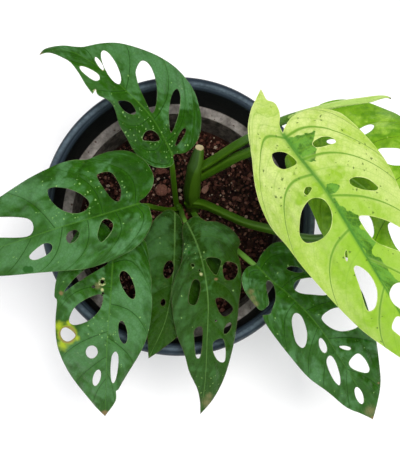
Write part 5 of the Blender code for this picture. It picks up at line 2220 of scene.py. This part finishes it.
@dataclass
class PottingMix:
    """The potting mix: a rough body with loose crumbs of bark and fibre on it, and a few larger chips."""

    pot: NurseryPot
    level: float = 0.102
    crown: float = 0.002
    rings: int = 54
    sides: int = 168
    relief: float = 0.0016
    clearance: float = 0.0003
    crumb_room: float = 0.0008
    wall_room: float = 0.0022
    chip_lift: float = 0.003
    seed: int = 11
    grains: tuple[GrainKind, ...] = (
        GrainKind("mix_crumbs_low", 1300, (0.0011, 0.0020), (0.0, 0.5), 0.8, -0.0010, 2),
        GrainKind("mix_crumbs_mid", 1400, (0.0009, 0.0018), (0.1, 0.85), 0.75, 0.0008, 2),
        GrainKind("mix_crumbs_top", 800, (0.0006, 0.0014), (0.3, 1.0), 0.7, 0.0022, 2),
        GrainKind("mix_crumbs_fine", 1700, (0.0004, 0.0008), (0.35, 1.0), 0.8, 0.0024, 1),
    )
    chips: tuple[tuple[float, float, float, float, float, float], ...] = (
        (161.7, 190.5, 5.0, 4.6, 0.74, 0.4),
        (160.0, 171.2, 5.0, 2.6, 0.60, 0.1),
        (205.3, 189.0, 4.2, 2.4, 0.88, 1.1),
        (180.0, 190.3, 1.6, 1.6, 1.0, 0.3),
        (180.6, 198.2, 1.8, 1.2, 0.98, 2.2),
        (158.3, 179.0, 1.4, 1.0, 1.0, 0.5),
        (154.7, 185.2, 1.3, 1.0, 1.0, 0.2),
        (217.0, 205.0, 2.0, 1.3, 0.9, 0.9),
        (239.5, 199.0, 2.2, 1.6, 0.72, 1.9),
        (108.0, 186.0, 1.5, 1.2, 0.97, 0.2),
        (137.0, 150.0, 3.0, 2.0, 0.9, 2.6),
        (228.0, 262.0, 2.1, 1.6, 0.86, 1.2),
        (246.0, 217.0, 1.6, 1.2, 0.95, 0.8),
        (222.0, 310.0, 2.2, 1.5, 0.7, 0.3),
    )

    def height_at(self, radius: float) -> float:
        """Gives the mix's level at a distance from the pot's axis."""
        return self.level + self.crown * (1 - (radius / self.pot.wall_radius(self.level)) ** 2)

    def build_body(self, material: Material) -> Thing:
        """Builds the rough body that fills the pot.

        Args:
            material: its finish.

        Returns:
            The body's object.
        """
        draw = np.random.default_rng(self.seed)
        top_radius = self.pot.wall_radius(self.level) - self.clearance
        floor = self.pot.inner_floor() + self.clearance
        floor_radius = self.pot.wall_radius(floor) - self.clearance
        shape = draw.uniform(-1.0, 1.0, (self.rings, self.sides))
        shape = (shape + np.roll(shape, 1, axis=1) + np.roll(shape, 1, axis=0)) / 1.9
        shape[-1] = 0.0
        turns = [2 * math.pi * k / self.sides for k in range(self.sides)]
        points, faces = [], []
        for ring, rough in enumerate(shape * self.relief):
            radius = top_radius * (ring + 1) / self.rings
            level = self.height_at(radius) - self.crumb_room
            points += [self.pot.ring_point(radius, level + up, turn) for up, turn in zip(rough, turns)]
        points += [self.pot.ring_point(floor_radius, floor, turn) for turn in turns]
        crown, base = len(points), len(points) + 1
        points += [(0.0, 0.0, self.height_at(0.0)), (0.0, 0.0, floor)]
        last = self.rings * self.sides
        for k in range(self.sides):
            there = (k + 1) % self.sides
            faces += [(crown, k, there), (base, last + there, last + k)]
            for start in range(0, last, self.sides):
                a, b = start + k, start + there
                faces.append((a, a + self.sides, b + self.sides, b))
        tones = draw.uniform(0.0, 0.35, len(points))
        return finish_mesh(make_mesh("mix_body", points, faces, tone=tones), material, smooth_angle=40.0)

    def crumb(self, detail: int) -> tuple[Rows, Rows]:
        """Gives the points and triangles of a ball that crumbs are made from."""
        work = bmesh.new()
        bmesh.ops.create_icosphere(work, subdivisions=detail, radius=1.0)
        work.verts.ensure_lookup_table()
        points = np.array([tuple(v.co) for v in work.verts])
        faces = np.array([[v.index for v in f.verts] for f in work.faces])
        work.free()
        return points, faces

    def spin(self, turn: float, tilt: float, axis: str) -> Rows:
        """Gives what turns rows of points: tilted about an axis, then turned about the upright one."""
        return np.array(Matrix.Rotation(turn, 3, "Z") @ Matrix.Rotation(tilt, 3, axis)).T

    def join(
        self, name: str, faces: Rows, lumps: list, material: Material, smooth_angle: float
    ) -> Thing:
        """Joins lumps into one object.

        Args:
            name: its name.
            faces: the point numbers of one lump's faces.
            lumps: each lump's points and its tone.
            material: their finish.
            smooth_angle: edges sharper than this many degrees stay sharp.

        Returns:
            The object.
        """
        points, tones = zip(*lumps)
        size = len(points[0])
        all_faces = np.vstack([faces + k * size for k in range(len(points))]).tolist()
        mesh = make_mesh(name, np.vstack(points), all_faces, tone=np.repeat(tones, size))
        return finish_mesh(mesh, material, smooth_angle)

    def build_crumbs(self, kind: GrainKind, order: int, material: Material) -> Thing:
        """Scatters one kind of crumb over the mix.

        Args:
            kind: what the crumbs are like.
            order: the kind's number, which sets its random draw.
            material: their finish.

        Returns:
            One object with every crumb.
        """
        draw = np.random.default_rng(self.seed + 10 * order)
        ball, faces = self.crumb(kind.detail)
        reach = self.pot.wall_radius(self.level) - self.wall_room
        lumps = []
        for _ in range(kind.count):
            size = draw.uniform(*kind.radius)
            far = (reach - size) * math.sqrt(draw.uniform(0.0, 1.0))
            x, y, _ = self.pot.ring_point(far, 0.0, draw.uniform(0.0, 2 * math.pi))
            length, width = draw.uniform(0.75, 1.3), draw.uniform(0.65, 1.1)
            stretch = size * np.array((length, width, draw.uniform(0.8, 1.2) * kind.flatness))
            rough = 1 + draw.uniform(-0.2, 0.2, len(ball))[:, None]
            spin = self.spin(draw.uniform(0, 2 * math.pi), draw.uniform(-0.6, 0.6), "X")
            centre = np.array((x, y, self.height_at(far) + kind.lift * draw.uniform(0.3, 1.2)))
            lumps.append((ball * rough * stretch @ spin + centre, draw.uniform(*kind.tone) ** 1.25))
        return self.join(kind.name, faces, lumps, material, smooth_angle=50.0)

    def build_chips(self, material: Material) -> Thing:
        """Lays the larger chips where they lie on the mix.

        Args:
            material: their finish.

        Returns:
            One object with every chip.
        """
        draw = np.random.default_rng(self.seed + 5)
        ball, faces = self.crumb(3)
        chips = []
        for x, y, length, width, tone, turn in self.chips:
            spot = SHEET.to_space(x, y, (self.level + self.chip_lift) / MM)
            lumps = np.sin(ball @ draw.uniform(-3.0, 3.0, (3, 4)) + draw.uniform(0, 6.0, 4)).mean(axis=1)
            rough = 1 + 0.22 * lumps[:, None] + draw.uniform(-0.03, 0.03, len(ball))[:, None]
            stretch = np.array((length, width, min(length, width) * 0.55)) * MM
            spin = self.spin(turn, draw.uniform(-0.3, 0.3), "Y")
            chips.append((ball * rough * stretch @ spin + spot, tone))
        return self.join("mix_chips", faces, chips, material, smooth_angle=60.0)


@dataclass(frozen=True)
class MixFinish:
    """The potting mix's finish: dark brown to reddish and tan, with a few pale crumbs."""

    darkest: Colour = seen(15, 8, 6)
    brown: Colour = seen(66, 35, 27)
    reddish: Colour = seen(134, 82, 68)
    tan: Colour = seen(184, 134, 116)
    pale: Colour = seen(216, 196, 172)
    damp: Colour = seen(40, 20, 16)
    crack: Colour = seen(24, 13, 11)

    def build(self, effects: Effects) -> Material:
        """Builds the material.

        Args:
            effects: the shared node groups.

        Returns:
            The material.
        """
        material, board, shader = open_material("potting_mix_crumbs", 0.85)
        place, tone = board.place(), board.value_of("tone")
        cloud = effects.mottled(board, place, 600.0, 2.2)
        net = board.use(effects.net, Vector=place, Scale=900.0, Width=0.2)
        colour = board.lay(
            self.darkest,
            (self.brown, board.fade(tone, 0.0, 0.3)),
            (self.reddish, board.fade(tone, 0.3, 0.62)),
            (self.tan, board.fade(tone, 0.66, 0.9)),
            (self.pale, board.fade(tone, 0.88, 1.0)),
            (self.damp, cloud, 0.45),
            (self.crack, net["Line"], 0.35),
        )
        board.feed(shader.inputs["Base Color"], colour)
        add_bump(board, shader, board.plus(cloud, net["Dome"]), 0.0003)
        return material


@dataclass
class Studio:
    """The camera at the sheet's eye, a pale floor and soft light."""

    lens: float = 70.1
    floor_size: float = 6.0
    floor_colour: Colour = (0.95, 0.945, 0.95)
    floor_glow: float = 0.05
    glow_colour: Colour = (1.0, 0.985, 0.99)
    light_place: tuple[float, float, float] = (0.18, 0.02, 1.55)
    light_aim: tuple[float, float, float] = (0.0, 0.0, 0.15)
    light_size: float = 0.50
    light_power: float = 13.0
    light_colour: Colour = (1.0, 0.985, 0.96)
    surround: float = 0.88
    surround_colour: Colour = (0.97, 0.98, 1.0)
    mirrored_band: float = 0.9
    mirrored_dark: float = 0.02
    mirrored_colour: Colour = (0.84, 1.0, 0.93)

    def build(self) -> None:
        """Builds the camera, the floor, the light and the surroundings."""
        self.build_camera()
        self.build_floor()
        self.build_light()
        self.build_world()

    def build_camera(self) -> None:
        """Puts the camera at the sheet's eye."""
        right, up, forward = SHEET.axes()
        camera = bpy.data.cameras.new("camera")
        camera.lens = self.lens
        camera.sensor_width = 36.0
        camera.clip_start = 0.01
        thing = place_object("camera", camera)
        turned = Matrix((right, up, -forward)).transposed().to_4x4()
        thing.matrix_world = Matrix.Translation(SHEET.eye) @ turned
        bpy.context.scene.camera = thing

    def build_floor(self) -> None:
        """Lays the pale floor, which glows a little like a light table."""
        half = self.floor_size / 2
        corners = [(-half, -half, 0.0), (half, -half, 0.0), (half, half, 0.0), (-half, half, 0.0)]
        mesh = make_mesh("floor", corners, [(0, 1, 2, 3)])
        material, board, shader = open_material("floor_pale", 0.9, specular=0.1)
        board.feed(shader.inputs["Base Color"], self.floor_colour)
        board.feed(shader.inputs["Emission Color"], self.glow_colour)
        shader.inputs["Emission Strength"].default_value = self.floor_glow
        mesh.materials.append(material)
        floor = place_object("floor", mesh)

    def build_light(self) -> None:
        """Hangs a soft light above and a little right; reflections come from the surroundings alone."""
        light = bpy.data.lights.new("light_main", "AREA")
        light.shape = "SQUARE"
        light.size = self.light_size
        light.energy = self.light_power
        light.color = self.light_colour
        thing = place_object("light_main", light)
        thing.location = self.light_place
        aim = Vector(self.light_aim) - Vector(self.light_place)
        thing.rotation_euler = aim.to_track_quat("-Z", "Y").to_euler()
        thing.visible_glossy = False

    def build_world(self) -> None:
        """Makes the surroundings softly bright, with a cool band for reflections low on the near sides.

        Reflections find it dark overhead and on the far side, so a flat leaf keeps its deep colour and one
        that tilts to a near side has a sheen.
        """
        world = bpy.data.worlds.new("studio")
        world.use_nodes = True
        board = NodeBoard(world.node_tree)
        x, y, z = board.parts(board.add("TexCoord").outputs["Generated"])
        low = board.fade(z, 0.95, 0.83)
        near = board.fade(board.plus(y, board.times(x, 0.6)), 0.22, -0.12)
        strength = board.plus(board.times(low, near, self.mirrored_band), self.mirrored_dark)
        soft = world.node_tree.nodes["Background"]
        board.feed(soft.inputs["Color"], self.surround_colour)
        board.feed(soft.inputs["Strength"], self.surround)
        mirrored = board.add("Background", {"Color": self.mirrored_colour, "Strength": strength})
        glossy = board.add("LightPath").outputs["Is Glossy Ray"]
        mix = board.add("MixShader", {0: glossy, 1: soft.outputs[0], 2: mirrored.outputs[0]})
        board.feed(world.node_tree.nodes["World Output"].inputs["Surface"], mix.outputs[0])
        bpy.context.scene.world = world
        bpy.context.scene.view_settings.view_transform = "Standard"


def build_leaves(effects: Effects) -> dict[str, LeafBlade]:
    """Builds every leaf.

    Args:
        effects: the shared node groups.

    Returns:
        The blades by their solids' names.
    """
    finishes = (GREEN_FINISH, SHADED_FINISH, LIME_FINISH, BRIGHT_FINISH)
    materials = {finish.kind: finish.build(effects) for finish in finishes}
    for blade in LEAVES:
        thing = blade.build(materials[blade.finish.kind])
        settle(thing, blade.finish.slot, blade.node)
    return {blade.node: blade for blade in LEAVES}


def build_stalks(effects: Effects, blades: dict[str, LeafBlade]) -> None:
    """Builds the stems, the stalks and the rolled leaf.

    Args:
        effects: the shared node groups.
        blades: every blade by its solid's name.
    """
    finishes = (STEM_FINISH, SHOOT_FINISH, STALK_FINISH, PALE_STALK_FINISH)
    materials = {finish.name: finish.build(effects) for finish in finishes}
    for stalk in STEMS + STALKS:
        settle(stalk.build(blades, materials[stalk.finish.name]), stalk.finish.slot, stalk.node)
    rolled = RolledLeaf()
    for thing in rolled.build(materials[STALK_FINISH.name], RolledFinish().build(effects)):
        settle(thing, "leaf_bright", rolled.node)


def build_pot_and_mix(effects: Effects) -> None:
    """Builds the pot and the potting mix in it.

    Args:
        effects: the shared node groups.
    """
    pot = NurseryPot()
    settle(pot.build(PotFinish().build(effects)), "pot", "nursery_pot")
    mix = PottingMix(pot)
    material = MixFinish().build(effects)
    settle(mix.build_body(material), "soil", "potting_mix")
    for order, kind in enumerate(mix.grains):
        settle(mix.build_crumbs(kind, order + 1, material), "soil")
    settle(mix.build_chips(material), "soil")


def main() -> None:
    """Builds the whole plant and its surroundings."""
    logging.basicConfig(level=logging.INFO, format="%(name)s: %(message)s")
    Studio().build()
    effects = Effects()
    blades = build_leaves(effects)
    build_stalks(effects, blades)
    build_pot_and_mix(effects)


if __name__ == "__main__":
    main()
